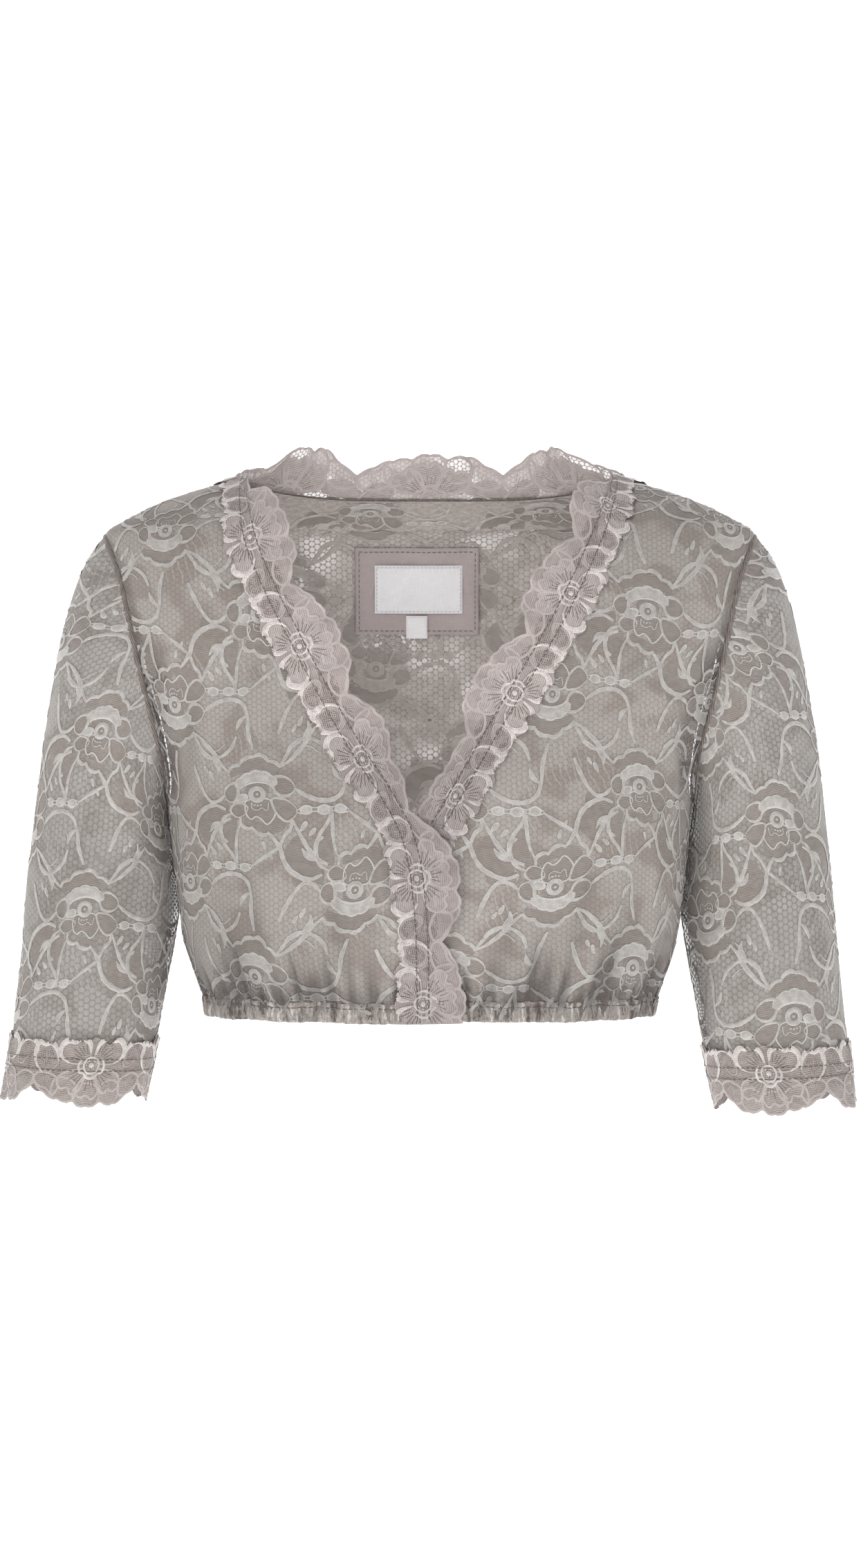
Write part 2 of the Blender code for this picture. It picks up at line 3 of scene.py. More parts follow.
import bpy
import numpy as np
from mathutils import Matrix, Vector


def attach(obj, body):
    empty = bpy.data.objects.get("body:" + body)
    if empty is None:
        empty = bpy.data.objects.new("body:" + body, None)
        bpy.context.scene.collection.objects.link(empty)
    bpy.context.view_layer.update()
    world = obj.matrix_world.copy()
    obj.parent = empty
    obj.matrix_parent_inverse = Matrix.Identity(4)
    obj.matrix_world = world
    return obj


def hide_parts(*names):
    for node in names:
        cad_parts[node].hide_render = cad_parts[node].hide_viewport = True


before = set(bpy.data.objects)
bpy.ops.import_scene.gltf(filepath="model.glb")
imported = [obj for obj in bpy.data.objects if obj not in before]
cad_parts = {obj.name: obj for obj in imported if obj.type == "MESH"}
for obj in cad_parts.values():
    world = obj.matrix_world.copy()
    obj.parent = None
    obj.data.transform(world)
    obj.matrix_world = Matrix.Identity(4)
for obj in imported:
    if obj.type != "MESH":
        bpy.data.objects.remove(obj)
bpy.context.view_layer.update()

rng = np.random.default_rng(7)

# ------------------------------------------------------------ camera
ZC = -0.18662
cam_data = bpy.data.cameras.new("camera")
cam_data.lens = 81.23
cam_data.sensor_width = 36.0
cam = bpy.data.objects.new("camera", cam_data)
cam.location = (0.00086, -2.2, ZC)
cam.rotation_euler = (math.radians(90), 0, 0)
bpy.context.scene.collection.objects.link(cam)
bpy.context.scene.camera = cam

# ------------------------------------------------------------ dimensions
SEAM = 0.0004
LIE = 0.0009
WALL = 0.0012
TRIM_WALL = 0.0012
LABEL_WALL = 0.0010
NECK_TOP = 0.0045
SHOULDER_TIP = -0.0310
UNDERARM = -0.1950
BACK_NECK = -0.0050
CASING_TOP = -0.3185
HEM = -0.3305
OVERLAP_INSET = 0.0046
SLEEVE_GAP = 0.0006
REPEAT = 0.078
REPEAT_LEFT = 0.0705
REPEAT_BACK = 0.093
SLEEVE_DROP = 0.0050
SIDE_START = NECK_TOP - 0.0022

FORM = (  # z, half_width, front, back, power
    (0.0045, 0.1120, 0.0330, 0.0420, 2.00),
    (-0.0043, 0.1460, 0.0480, 0.0570, 2.00),
    (-0.0129, 0.1700, 0.0580, 0.0660, 2.05),
    (-0.0215, 0.1870, 0.0690, 0.0730, 2.10),
    (-0.0310, 0.2015, 0.0780, 0.0790, 2.15),
    (-0.0450, 0.2040, 0.0865, 0.0850, 2.20),
    (-0.0700, 0.2010, 0.0960, 0.0910, 2.30),
    (-0.1000, 0.1945, 0.1040, 0.0935, 2.35),
    (-0.1500, 0.1760, 0.1130, 0.0930, 2.40),
    (-0.1900, 0.1635, 0.1170, 0.0905, 2.40),
    (-0.2350, 0.1590, 0.1135, 0.0870, 2.35),
    (-0.2700, 0.1544, 0.1060, 0.0830, 2.30),
    (-0.3050, 0.1460, 0.0955, 0.0805, 2.25),
    (-0.3305, 0.1385, 0.0885, 0.0795, 2.20),
)
EDGE = (  # z, right, left
    (0.0045, -0.1120, 0.1120),
    (-0.0050, -0.1128, 0.1105),
    (-0.0300, -0.1100, 0.1032),
    (-0.0406, -0.1075, 0.0990),
    (-0.0733, -0.0939, 0.0838),
    (-0.1018, -0.0790, 0.0686),
    (-0.1350, -0.0614, 0.0488),
    (-0.1665, -0.0430, 0.0304),
    (-0.1932, -0.0254, 0.0150),
    (-0.2177, -0.0131, 0.0012),
    (-0.2390, -0.0082, -0.0075),
    (-0.2750, -0.0050, -0.0120),
    (-0.3305, -0.0040, -0.0120),
)
ARMHOLE = (  # z, front, back
    (-0.0310, 0.2015, 0.2015),
    (-0.0490, 0.1925, 0.1945),
    (-0.0690, 0.1862, 0.1895),
    (-0.0900, 0.1815, 0.1850),
    (-0.1200, 0.1750, 0.1780),
    (-0.1450, 0.1692, 0.1705),
    (-0.1700, 0.1640, 0.1650),
    (-0.1880, 0.1624, 0.1626),
    (-0.1950, 0.1626, 0.1626),
)
SLEEVE = (  # outer_x, outer_z, inner_x, inner_z, middle_y, half_depth
    (0.2018, -0.0310, 0.1632, -0.1950, 0.001, 0.0530),
    (0.2135, -0.0470, 0.1627, -0.2035, 0.005, 0.0560),
    (0.2222, -0.0665, 0.1617, -0.2130, 0.008, 0.0570),
    (0.2310, -0.0990, 0.1601, -0.2290, 0.011, 0.0565),
    (0.2374, -0.1330, 0.1582, -0.2450, 0.014, 0.0555),
    (0.2430, -0.1680, 0.1568, -0.2620, 0.016, 0.0540),
    (0.2470, -0.2050, 0.1588, -0.2800, 0.014, 0.0525),
    (0.2503, -0.2385, 0.1618, -0.2980, 0.010, 0.0510),
    (0.2528, -0.2720, 0.1648, -0.3150, 0.006, 0.0495),
    (0.2555, -0.3020, 0.1675, -0.3310, 0.003, 0.0480),
    (0.2583, -0.3310, 0.1702, -0.3465, 0.000, 0.0465),
    (0.2608, -0.3560, 0.1727, -0.3590, -0.003, 0.0450),
)
TRIM = (  # along, free, sewn
    (0.00, 0.0125, 0.0150),
    (0.14, 0.0190, 0.0125),
    (0.26, 0.0225, 0.0165),
    (0.38, 0.0235, 0.0135),
    (0.50, 0.0265, 0.0170),
    (0.62, 0.0235, 0.0135),
    (0.74, 0.0250, 0.0165),
    (0.88, 0.0185, 0.0125),
    (1.00, 0.0125, 0.0150),
)
FOLDS = (  # around_deg, depth, width_deg, height
    (-72, 0.0016, 8, 0.060),
    (-50, 0.0022, 9, 0.085),
    (-27, 0.0018, 7, 0.055),
    (24, 0.0020, 8, 0.070),
    (46, 0.0017, 8, 0.095),
    (69, 0.0021, 9, 0.060),
    (112, 0.0018, 9, 0.070),
    (139, 0.0021, 9, 0.090),
    (168, 0.0016, 8, 0.055),
    (-160, 0.0020, 9, 0.080),
    (-131, 0.0017, 8, 0.060),
    (-108, 0.0021, 9, 0.085),
)
# Creases of the worn cloth: around_deg and z of the middle, length, width and
# depth (a ridge is negative), and how far the crease leans from upright.
CREASES = (
    (-58, -0.168, 0.085, 0.0075, 0.0011, 38),
    (-74, -0.205, 0.070, 0.0065, 0.0013, 24),
    (-66, -0.236, 0.060, 0.0070, -0.0009, 14),
    (-40, -0.262, 0.072, 0.0060, 0.0010, -9),
    (-18, -0.276, 0.050, 0.0055, 0.0009, 5),
    (-33, -0.120, 0.050, 0.0090, 0.0006, 50),
    (33, -0.266, 0.066, 0.0060, 0.0011, 8),
    (57, -0.242, 0.074, 0.0065, -0.0009, -12),
    (71, -0.200, 0.078, 0.0070, 0.0013, -26),
    (60, -0.160, 0.078, 0.0080, 0.0011, -40),
    (40, -0.115, 0.046, 0.0090, 0.0006, -52),
    (15, -0.284, 0.045, 0.0050, 0.0010, -6),
    (104, -0.214, 0.084, 0.0080, 0.0013, 20),
    (126, -0.244, 0.070, 0.0070, -0.0010, 6),
    (149, -0.262, 0.082, 0.0070, 0.0012, -7),
    (176, -0.240, 0.060, 0.0080, 0.0008, 3),
    (-156, -0.256, 0.074, 0.0070, 0.0012, 9),
    (-128, -0.238, 0.066, 0.0075, -0.0010, -8),
    (-106, -0.210, 0.080, 0.0080, 0.0013, -22),
    (118, -0.120, 0.070, 0.0100, 0.0009, 34),
    (-117, -0.112, 0.064, 0.0100, 0.0009, -30),
    (160, -0.130, 0.060, 0.0120, 0.0007, 60),
)
# Creases of a sleeve: place round it (mm from the outer line, + to the front)
# and height over its end (mm), length, width, depth, lean.
SLEEVE_CREASES = {
    1: ((112, 118, 74, 8.0, 1.6, 40), (96, 86, 52, 6.5, 1.1, 28), (126, 62, 60, 7.5, 1.4, 12),
        (74, 44, 46, 6.0, 0.8, -14), (30, 150, 60, 9.0, -0.9, 8), (20, 84, 70, 10.0, 0.9, -5),
        (58, 196, 56, 8.5, 1.0, 34), (-118, 110, 78, 8.0, 1.6, -38), (-92, 70, 60, 7.0, 1.2, -16),
        (-60, 140, 70, 9.0, -1.0, -10), (-40, 50, 50, 7.0, 0.9, 10), (-70, 210, 60, 9.0, 1.1, -30)),
    -1: ((108, 124, 80, 8.5, 1.7, 36), (100, 80, 48, 6.0, 1.2, 20), (128, 48, 66, 7.0, 1.3, 6),
         (66, 58, 52, 6.5, -0.8, -10), (34, 170, 64, 9.5, 0.9, 12), (14, 100, 60, 9.0, -0.9, -8),
         (62, 214, 50, 8.0, 1.1, 30), (-112, 120, 72, 8.0, 1.5, -42), (-98, 62, 58, 7.5, 1.3, -10),
         (-54, 126, 66, 8.5, 1.0, 8), (-34, 64, 56, 7.5, -0.9, -14), (-64, 200, 64, 9.5, 1.0, -34)),
}


# ------------------------------------------------------------ curves
def curve(table, column):
    rows = sorted(table, key=lambda r: r[0])
    xs = np.array([r[0] for r in rows], float)
    ys = np.array([r[column] for r in rows], float)
    step = np.diff(xs)
    slope = np.diff(ys) / step
    tangent = np.zeros(len(xs))
    tangent[0], tangent[-1] = slope[0], slope[-1]
    for i in range(1, len(xs) - 1):
        if slope[i - 1] * slope[i] > 0:
            w1, w2 = 2 * step[i] + step[i - 1], step[i] + 2 * step[i - 1]
            tangent[i] = (w1 + w2) / (w1 / slope[i - 1] + w2 / slope[i])

    def value(x):
        x = np.asarray(x, float)
        i = np.clip(np.searchsorted(xs, x) - 1, 0, len(step) - 1)
        h = step[i]
        t = (x - xs[i]) / h
        mid = (ys[i] * (2 * t**3 - 3 * t**2 + 1) + ys[i + 1] * (3 * t**2 - 2 * t**3)
               + h * tangent[i] * (t**3 - 2 * t**2 + t) + h * tangent[i + 1] * (t**3 - t**2))
        low = ys[0] + tangent[0] * (x - xs[0])
        high = ys[-1] + tangent[-1] * (x - xs[-1])
        return np.where(t < 0, low, np.where(t > 1, high, mid))

    return value


half_width, front_depth, back_depth, power = (curve(FORM, k) for k in (1, 2, 3, 4))
edge_right, edge_left = curve(EDGE, 1), curve(EDGE, 2)
arm_front, arm_back = curve(ARMHOLE, 1), curve(ARMHOLE, 2)
trim_free, trim_sewn = curve(TRIM, 1), curve(TRIM, 2)


def smoothstep(low, high, x):
    t = np.clip((np.asarray(x, float) - low) / (high - low), 0, 1)
    return t * t * (3 - 2 * t)


def unit(v):
    return v / np.maximum(np.linalg.norm(v, axis=-1, keepdims=True), 1e-12)


# ------------------------------------------------------------ body form
def section(theta, z):
    theta, z = np.broadcast_arrays(np.asarray(theta, float), np.asarray(z, float))
    a, n = half_width(z), power(z)
    s, c = np.sin(theta), np.cos(theta)
    d = np.where(c > 0, front_depth(z), back_depth(z))
    return np.stack([a * np.sign(s) * np.abs(s) ** (2 / n), -d * np.sign(c) * np.abs(c) ** (2 / n), z], -1)


def implicit(p):
    x, y, z = p[..., 0], p[..., 1], p[..., 2]
    a, n = half_width(z), power(z)
    d = np.where(y < 0, front_depth(z), back_depth(z))
    return (np.abs(x) / a) ** n + (np.abs(y) / d) ** n - 1


def gradient(p):
    h = 0.0004
    out = []
    for axis in range(3):
        step = np.zeros(3)
        step[axis] = h
        out.append((implicit(p + step) - implicit(p - step)) / (2 * h))
    return np.stack(out, -1)


def normal_at(p):
    return unit(gradient(p))


def onto_form(p):
    for _ in range(8):
        g = gradient(p)
        p = p - g * (implicit(p) / np.maximum((g * g).sum(-1), 1e-9))[..., None]
    return p


ZS = np.linspace(-0.352, 0.0045, 300)
SHARES = np.linspace(0, 1, 121)
QUARTER, THETA, LENGTH = {}, {}, {}
for is_front in (True, False):
    thetas = np.linspace(0, math.pi / 2, 161)
    if not is_front:
        thetas = math.pi - thetas
    pts = section(thetas[None, :], ZS[:, None])
    lengths = np.concatenate([np.zeros((len(ZS), 1)),
                              np.cumsum(np.linalg.norm(np.diff(pts, axis=1), axis=-1), 1)], 1)
    QUARTER[is_front] = lengths[:, -1]
    THETA[is_front] = np.stack([np.interp(SHARES * row[-1], row, thetas) for row in lengths])
    LENGTH[is_front] = lengths


def table_at(table, z, share):
    """Bilinear value of a table over ZS and an even second axis from 0 to 1."""
    fz = np.clip((z - ZS[0]) / (ZS[1] - ZS[0]), 0, len(ZS) - 1.001)
    fs = np.clip(share * (table.shape[1] - 1), 0, table.shape[1] - 1.001)
    i, j = fz.astype(int), fs.astype(int)
    a, b = fz - i, fs - j
    return ((1 - a) * (1 - b) * table[i, j] + (1 - a) * b * table[i, j + 1]
            + a * (1 - b) * table[i + 1, j] + a * b * table[i + 1, j + 1])


def quarter(z, front):
    return np.interp(z, ZS, QUARTER[front])


def theta_of_around(s, z, front):
    s, z = np.broadcast_arrays(np.asarray(s, float), np.asarray(z, float))
    return np.where(s < 0, -1, 1) * table_at(THETA[front], z, np.clip(np.abs(s) / quarter(z, front), 0, 1))


def around_of_theta(theta, z, front):
    theta, z = np.broadcast_arrays(np.asarray(theta, float), np.asarray(z, float))
    t = np.abs(theta)
    share = t / (math.pi / 2) if front else (math.pi - t) / (math.pi / 2)
    return np.sign(theta) * table_at(LENGTH[front], z, np.clip(share, 0, 1))


def theta_of_x(x, z, front=True):
    share = np.clip(np.abs(x) / half_width(z), 0, 1)
    theta = np.arcsin(share ** (power(z) / 2))
    return np.sign(x) * (theta if front else math.pi - theta)


def around_of_x(x, z, front=True):
    return around_of_theta(theta_of_x(x, z, front), z, front)


def inset_left(p):
    return np.where(p[..., 1] > 0, 0.0, OVERLAP_INSET * (1 - smoothstep(0.020, 0.062, p[..., 0])))


# small gathers just above the casing: place round the body, width, depth, height
GATHERS = []
_deg = -180.0
while _deg < 180:
    GATHERS.append((_deg, rng.uniform(0.9, 1.9), rng.uniform(0.0016, 0.0040), rng.uniform(0.014, 0.060)))
    _deg += rng.uniform(3.2, 6.8)


def creases(theta, z):
    deg = np.degrees(theta)
    total = np.zeros(np.broadcast(deg, z).shape)
    rise = z - CASING_TOP
    for around, depth, width, height in FOLDS:
        off = (deg - around + 180) % 360 - 180
        total += 1.35 * depth * np.exp(-(off / width) ** 2) * (1 - smoothstep(0, height, rise))
    for around, width, depth, height in GATHERS:
        off = (deg - around + 180) % 360 - 180
        total += depth * np.exp(-(off / width) ** 2) * (1 - smoothstep(0, height, rise)) * smoothstep(-0.011, 0.004, rise)
    for around, z0, length, width, depth, lean in CREASES:
        off = ((deg - around + 180) % 360 - 180) * 0.0024
        up = z - z0
        c, s = math.cos(math.radians(lean)), math.sin(math.radians(lean))
        along, across = c * up + s * off, c * off - s * up
        bent = across + 0.0016 * np.sin(along / length * 5.0 + around)
        total += depth * np.exp(-(bent / width) ** 2) * np.exp(-(along / (0.5 * length)) ** 4)
    return total


def fold_shade(theta, z):
    """0 on the open cloth, up to 1 deep in the gathers over the casing."""
    rise = z - CASING_TOP
    deg = np.degrees(theta)
    total = np.clip(creases(theta, z) / 0.0042, 0, 1)
    near = 1 - smoothstep(-0.002, 0.016, rise)
    small = 0.5 + 0.5 * np.sin(deg * 2.9 + 1.2 * np.sin(deg * 0.61) + 40 * z)
    return np.clip(total + near * (0.12 + 0.44 * small), 0, 1)


def puff(theta, z):
    """The cloth stands a little proud above the gathers."""
    rise = z - CASING_TOP
    return 0.0016 * np.exp(-((rise - 0.030) / 0.020) ** 2)


def body_point(s, z, front, inset=False, h=0.0):
    """Cloth of a body panel, and its outward normal; h is metres above the cloth."""
    s, z = np.broadcast_arrays(np.asarray(s, float), np.asarray(z, float))
    zc = np.minimum(z, 0.0044)
    theta = theta_of_around(s, zc, front)
    p = section(theta, zc)
    n = normal_at(p)
    depth = creases(theta, zc) - puff(theta, zc) + 0.0003
    if inset:
        depth = depth + inset_left(p)
    return p + n * (np.asarray(h) - depth)[..., None], n


# cloth height: true length up the body for each z, so figures keep their shape
Z_FINE = np.linspace(-0.352, 0.0045, 500)
_col = section(np.radians(52) * np.ones_like(Z_FINE), Z_FINE)
RUN = np.concatenate([[0], np.cumsum(np.linalg.norm(np.diff(_col, axis=0), axis=1))])


def run_of_z(z):
    return np.interp(z, Z_FINE, RUN)


def z_of_run(v):
    return np.interp(v, RUN, Z_FINE)


def outer_limit(z, front):
    arm = arm_front if front else arm_back
    on_arm = (z < SHOULDER_TIP) & (z > UNDERARM)
    side = quarter(z, front)
    return np.where(on_arm, np.minimum(around_of_x(arm(z), z, True) if front else np.abs(around_of_x(arm(z), z, False)),
                                       side), side) - 0.5 * SEAM


# ------------------------------------------------------------ sleeve form
def ring_row(t):
    rows = np.array(SLEEVE)
    index = np.arange(len(rows))
    return [SLEEVE_CURVES[c](t) for c in range(6)]


SLEEVE_CURVES = [curve([(i,) + row for i, row in enumerate(SLEEVE)], c + 1) for c in range(6)]


def ring(t, angle):
    ox, oz, ix, iz, middle, half = ring_row(t)
    mx, mz, ax, az = (ox + ix) / 2, (oz + iz) / 2, (ox - ix) / 2, (oz - iz) / 2
    c, s = np.cos(angle), np.sin(angle)
    return np.stack(np.broadcast_arrays(mx + ax * c, middle - half * s, mz + az * c), -1)


def loop_point(k):
    k = np.mod(k, 20)
    front = k <= 10
    row = np.where(front, k, 20 - k)
    z = SHOULDER_TIP + (UNDERARM - SHOULDER_TIP) * row / 10
    x = np.where(front, arm_front(z), arm_back(z))
    x = np.minimum(x, half_width(z))
    theta = np.where(front, theta_of_x(x, z, True), theta_of_x(x, z, False))
    return section(theta, z)


def own_angle(k):
    k = np.mod(k, 20)
    q = loop_point(k)
    ox, oz, ix, iz, middle, half = SLEEVE[0]
    mid = np.array([(ox + ix) / 2, middle, (oz + iz) / 2])
    across = np.array([(ox - ix) / 2, 0, (oz - iz) / 2])
    q = q - mid
    angle = np.arctan2(-q[..., 1] / half, (q @ across) / (across @ across))
    return np.where((k > 10) & (angle <= 0.5), angle + 2 * math.pi, angle)


def sleeve_base(t, k):
    kk = np.mod(k, 20)
    turns = k - kk
    own = own_angle(kk)
    even = 2 * math.pi * kk / 20
    blend = smoothstep(0, 5, t)
    angle = own * (1 - blend) + even * blend
    p = ring(t, angle)
    target = loop_point(kk) + np.array([SLEEVE_GAP, 0, 0])
    return p + (target - ring(np.zeros_like(t), own)) * (1 - smoothstep(0, 4, t))[..., None]


TS = np.linspace(0, 11, 177)
KS = np.linspace(-10, 10, 241)


class Sleeve:
    """One sleeve as a table over rings and places round, with its flat cloth."""

    def __init__(self, sign):
        self.sign = sign
        t, k = np.meshgrid(TS, KS, indexing="ij")
        p = sleeve_base(t, k)
        lengths = np.linalg.norm(np.diff(p, axis=0), axis=-1)
        v = np.concatenate([np.cumsum(lengths[::-1], 0)[::-1], np.zeros((1, len(KS)))], 0)
        v_grid = np.linspace(0, v.max(), 260)
        self.v_grid = v_grid
        self.t_of = np.stack([np.interp(v_grid, v[::-1, j], TS[::-1], right=-1.0) for j in range(len(KS))], 1)
        girths = []
        for i, value in enumerate(v_grid):
            ok = self.t_of[i] >= 0
            if ok.all():
                q = self.at_table(p, self.t_of[i], KS)
                girths.append(np.linalg.norm(np.diff(q, axis=0), axis=1).sum())
            else:
                girths.append(girths[-1])
        self.girth = np.array(girths)
        self.v = v
        self.u = np.interp(v, v_grid, self.girth) * k / 20
        n = self.normals(p)
        total = np.zeros(v.shape)
        for u0, v0, length, width, depth, lean in SLEEVE_CREASES[sign]:
            c, s = math.cos(math.radians(lean)), math.sin(math.radians(lean))
            du, dv = self.u * 1000 - u0, v * 1000 - v0
            along, across = c * dv + s * du, c * du - s * dv
            bent = across + 1.8 * np.sin(along / length * 5 + u0)
            total += depth * np.exp(-(bent / width) ** 2) * np.exp(-(along / (0.5 * length)) ** 4)
        total *= smoothstep(0.0, 1.2, t) / 1000
        # the cap is eased into the armhole with a few small puckers
        pucker = 0.00045 * (np.sin(k * 7.3) + 0.6 * np.sin(k * 11.9 + 1)) * np.exp(-t / 0.35) * (np.abs(k) < 7)
        p = p - n * (total + pucker + 0.0003)[..., None]
        x, y, z = p[..., 0], p[..., 1], p[..., 2]
        if sign > 0:
            z = z - SLEEVE_DROP * smoothstep(-0.200, -0.350, z)
        self.p = np.stack([x * sign, y, z], -1)
        self.n = self.normals(self.p) * sign

    @staticmethod
    def normals(p):
        along = np.gradient(p, axis=0)
        around = np.gradient(p, axis=1)
        seam = p[:, 1] - p[:, -2]
        around[:, 0], around[:, -1] = seam, seam
        return unit(np.cross(around, along))

    @staticmethod
    def at_table(table, t, k):
        ft = np.clip(t / 11 * (len(TS) - 1), 0, len(TS) - 1.001)
        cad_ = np.clip((k + 10) / 20 * (len(KS) - 1), 0, len(KS) - 1.001)
        i, j = ft.astype(int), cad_.astype(int)
        a, b = ft - i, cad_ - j
        if table.ndim == 3:
            a, b = a[..., None], b[..., None]
        return ((1 - a) * (1 - b) * table[i, j] + (1 - a) * b * table[i, j + 1]
                + a * (1 - b) * table[i + 1, j] + a * b * table[i + 1, j + 1])

    def tk(self, u, v):
        g = np.interp(v, self.v_grid, self.girth)
        k = 20 * u / g
        fv = np.clip(v / self.v_grid[-1] * (len(self.v_grid) - 1), 0, len(self.v_grid) - 1.001)
        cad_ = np.clip((k + 10) / 20 * (len(KS) - 1), 0, len(KS) - 1.001)
        i, j = fv.astype(int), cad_.astype(int)
        a, b = fv - i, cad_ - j
        corners = [self.t_of[i, j], self.t_of[i, j + 1], self.t_of[i + 1, j], self.t_of[i + 1, j + 1]]
        t = (1 - a) * (1 - b) * corners[0] + (1 - a) * b * corners[1] + a * (1 - b) * corners[2] + a * b * corners[3]
        bad = np.minimum.reduce(corners) < 0
        return np.where(bad | (v < 0), -1.0, t), k

    def inside(self, u, v):
        t, k = self.tk(u, v)
        return (t >= 0.06) & (np.abs(k) <= 10)

    def point(self, u, v, h=0.0):
        t, k = self.tk(u, v)
        t = np.maximum(t, 0)
        n = unit(self.at_table(self.n, t, k))
        return self.at_table(self.p, t, k) + n * np.asarray(h)[..., None], n


sleeves = {1: Sleeve(1), -1: Sleeve(-1)}


# ------------------------------------------------------------ mesh helpers
def build_mesh(name, verts, faces, uv, slots=None, materials=(), tags=None, smooth=True):
    """faces is a list of (n, 3) or (n, 4) index arrays; uv and tags are per vertex."""
    mesh = bpy.data.meshes.new(name)
    mesh.vertices.add(len(verts))
    mesh.vertices.foreach_set("co", np.asarray(verts, np.float32).ravel())
    loops = np.concatenate([f.ravel() for f in faces]).astype(np.int32)
    totals = np.concatenate([np.full(len(f), f.shape[1]) for f in faces]).astype(np.int32)
    starts = np.concatenate([[0], np.cumsum(totals)[:-1]]).astype(np.int32)
    mesh.loops.add(len(loops))
    mesh.loops.foreach_set("vertex_index", loops)
    mesh.polygons.add(len(totals))
    mesh.polygons.foreach_set("loop_start", starts)
    mesh.polygons.foreach_set("loop_total", totals)
    if slots is not None:
        mesh.polygons.foreach_set("material_index", np.asarray(slots, np.int32))
    mesh.polygons.foreach_set("use_smooth", np.full(len(totals), smooth))
    layer = mesh.uv_layers.new(name="cloth", do_init=False)
    layer.uv.foreach_set("vector", np.asarray(uv, np.float32)[loops].ravel())
    for key, values in (tags or {}).items():
        att = mesh.attributes.new(key, "FLOAT", "POINT")
        att.data.foreach_set("value", np.asarray(values, np.float32).ravel())
    mesh.update(calc_edges=True)
    mesh.validate(verbose=False)
    ob = bpy.data.objects.new(name, mesh)
    for m in materials:
        mesh.materials.append(m)
    bpy.context.scene.collection.objects.link(ob)
    return ob


def grid_faces(rows, cols, base=0, flip=False):
    idx = base + np.arange(rows * cols).reshape(rows, cols)
    a, b, c, d = idx[:-1, :-1], idx[:-1, 1:], idx[1:, 1:], idx[1:, :-1]
    quads = np.stack([a, b, c, d] if not flip else [d, c, b, a], -1).reshape(-1, 4)
    return quads


def grid_object(name, p, uv, material, tags=None, flip=False):
    rows, cols = p.shape[:2]
    tags = {k: np.asarray(v).ravel() for k, v in (tags or {}).items()}
    return build_mesh(name, p.reshape(-1, 3), [grid_faces(rows, cols, 0, flip)], uv.reshape(-1, 2),
                      materials=[material], tags=tags)


# ------------------------------------------------------------ node materials
def lin(rgb, k=1.0):
    out = []
    for c in rgb:
        c = c / 255
        out.append(min(1.0, k * (c / 12.92 if c <= 0.04045 else ((c + 0.055) / 1.055) ** 2.4)))
    return (*out, 1.0)


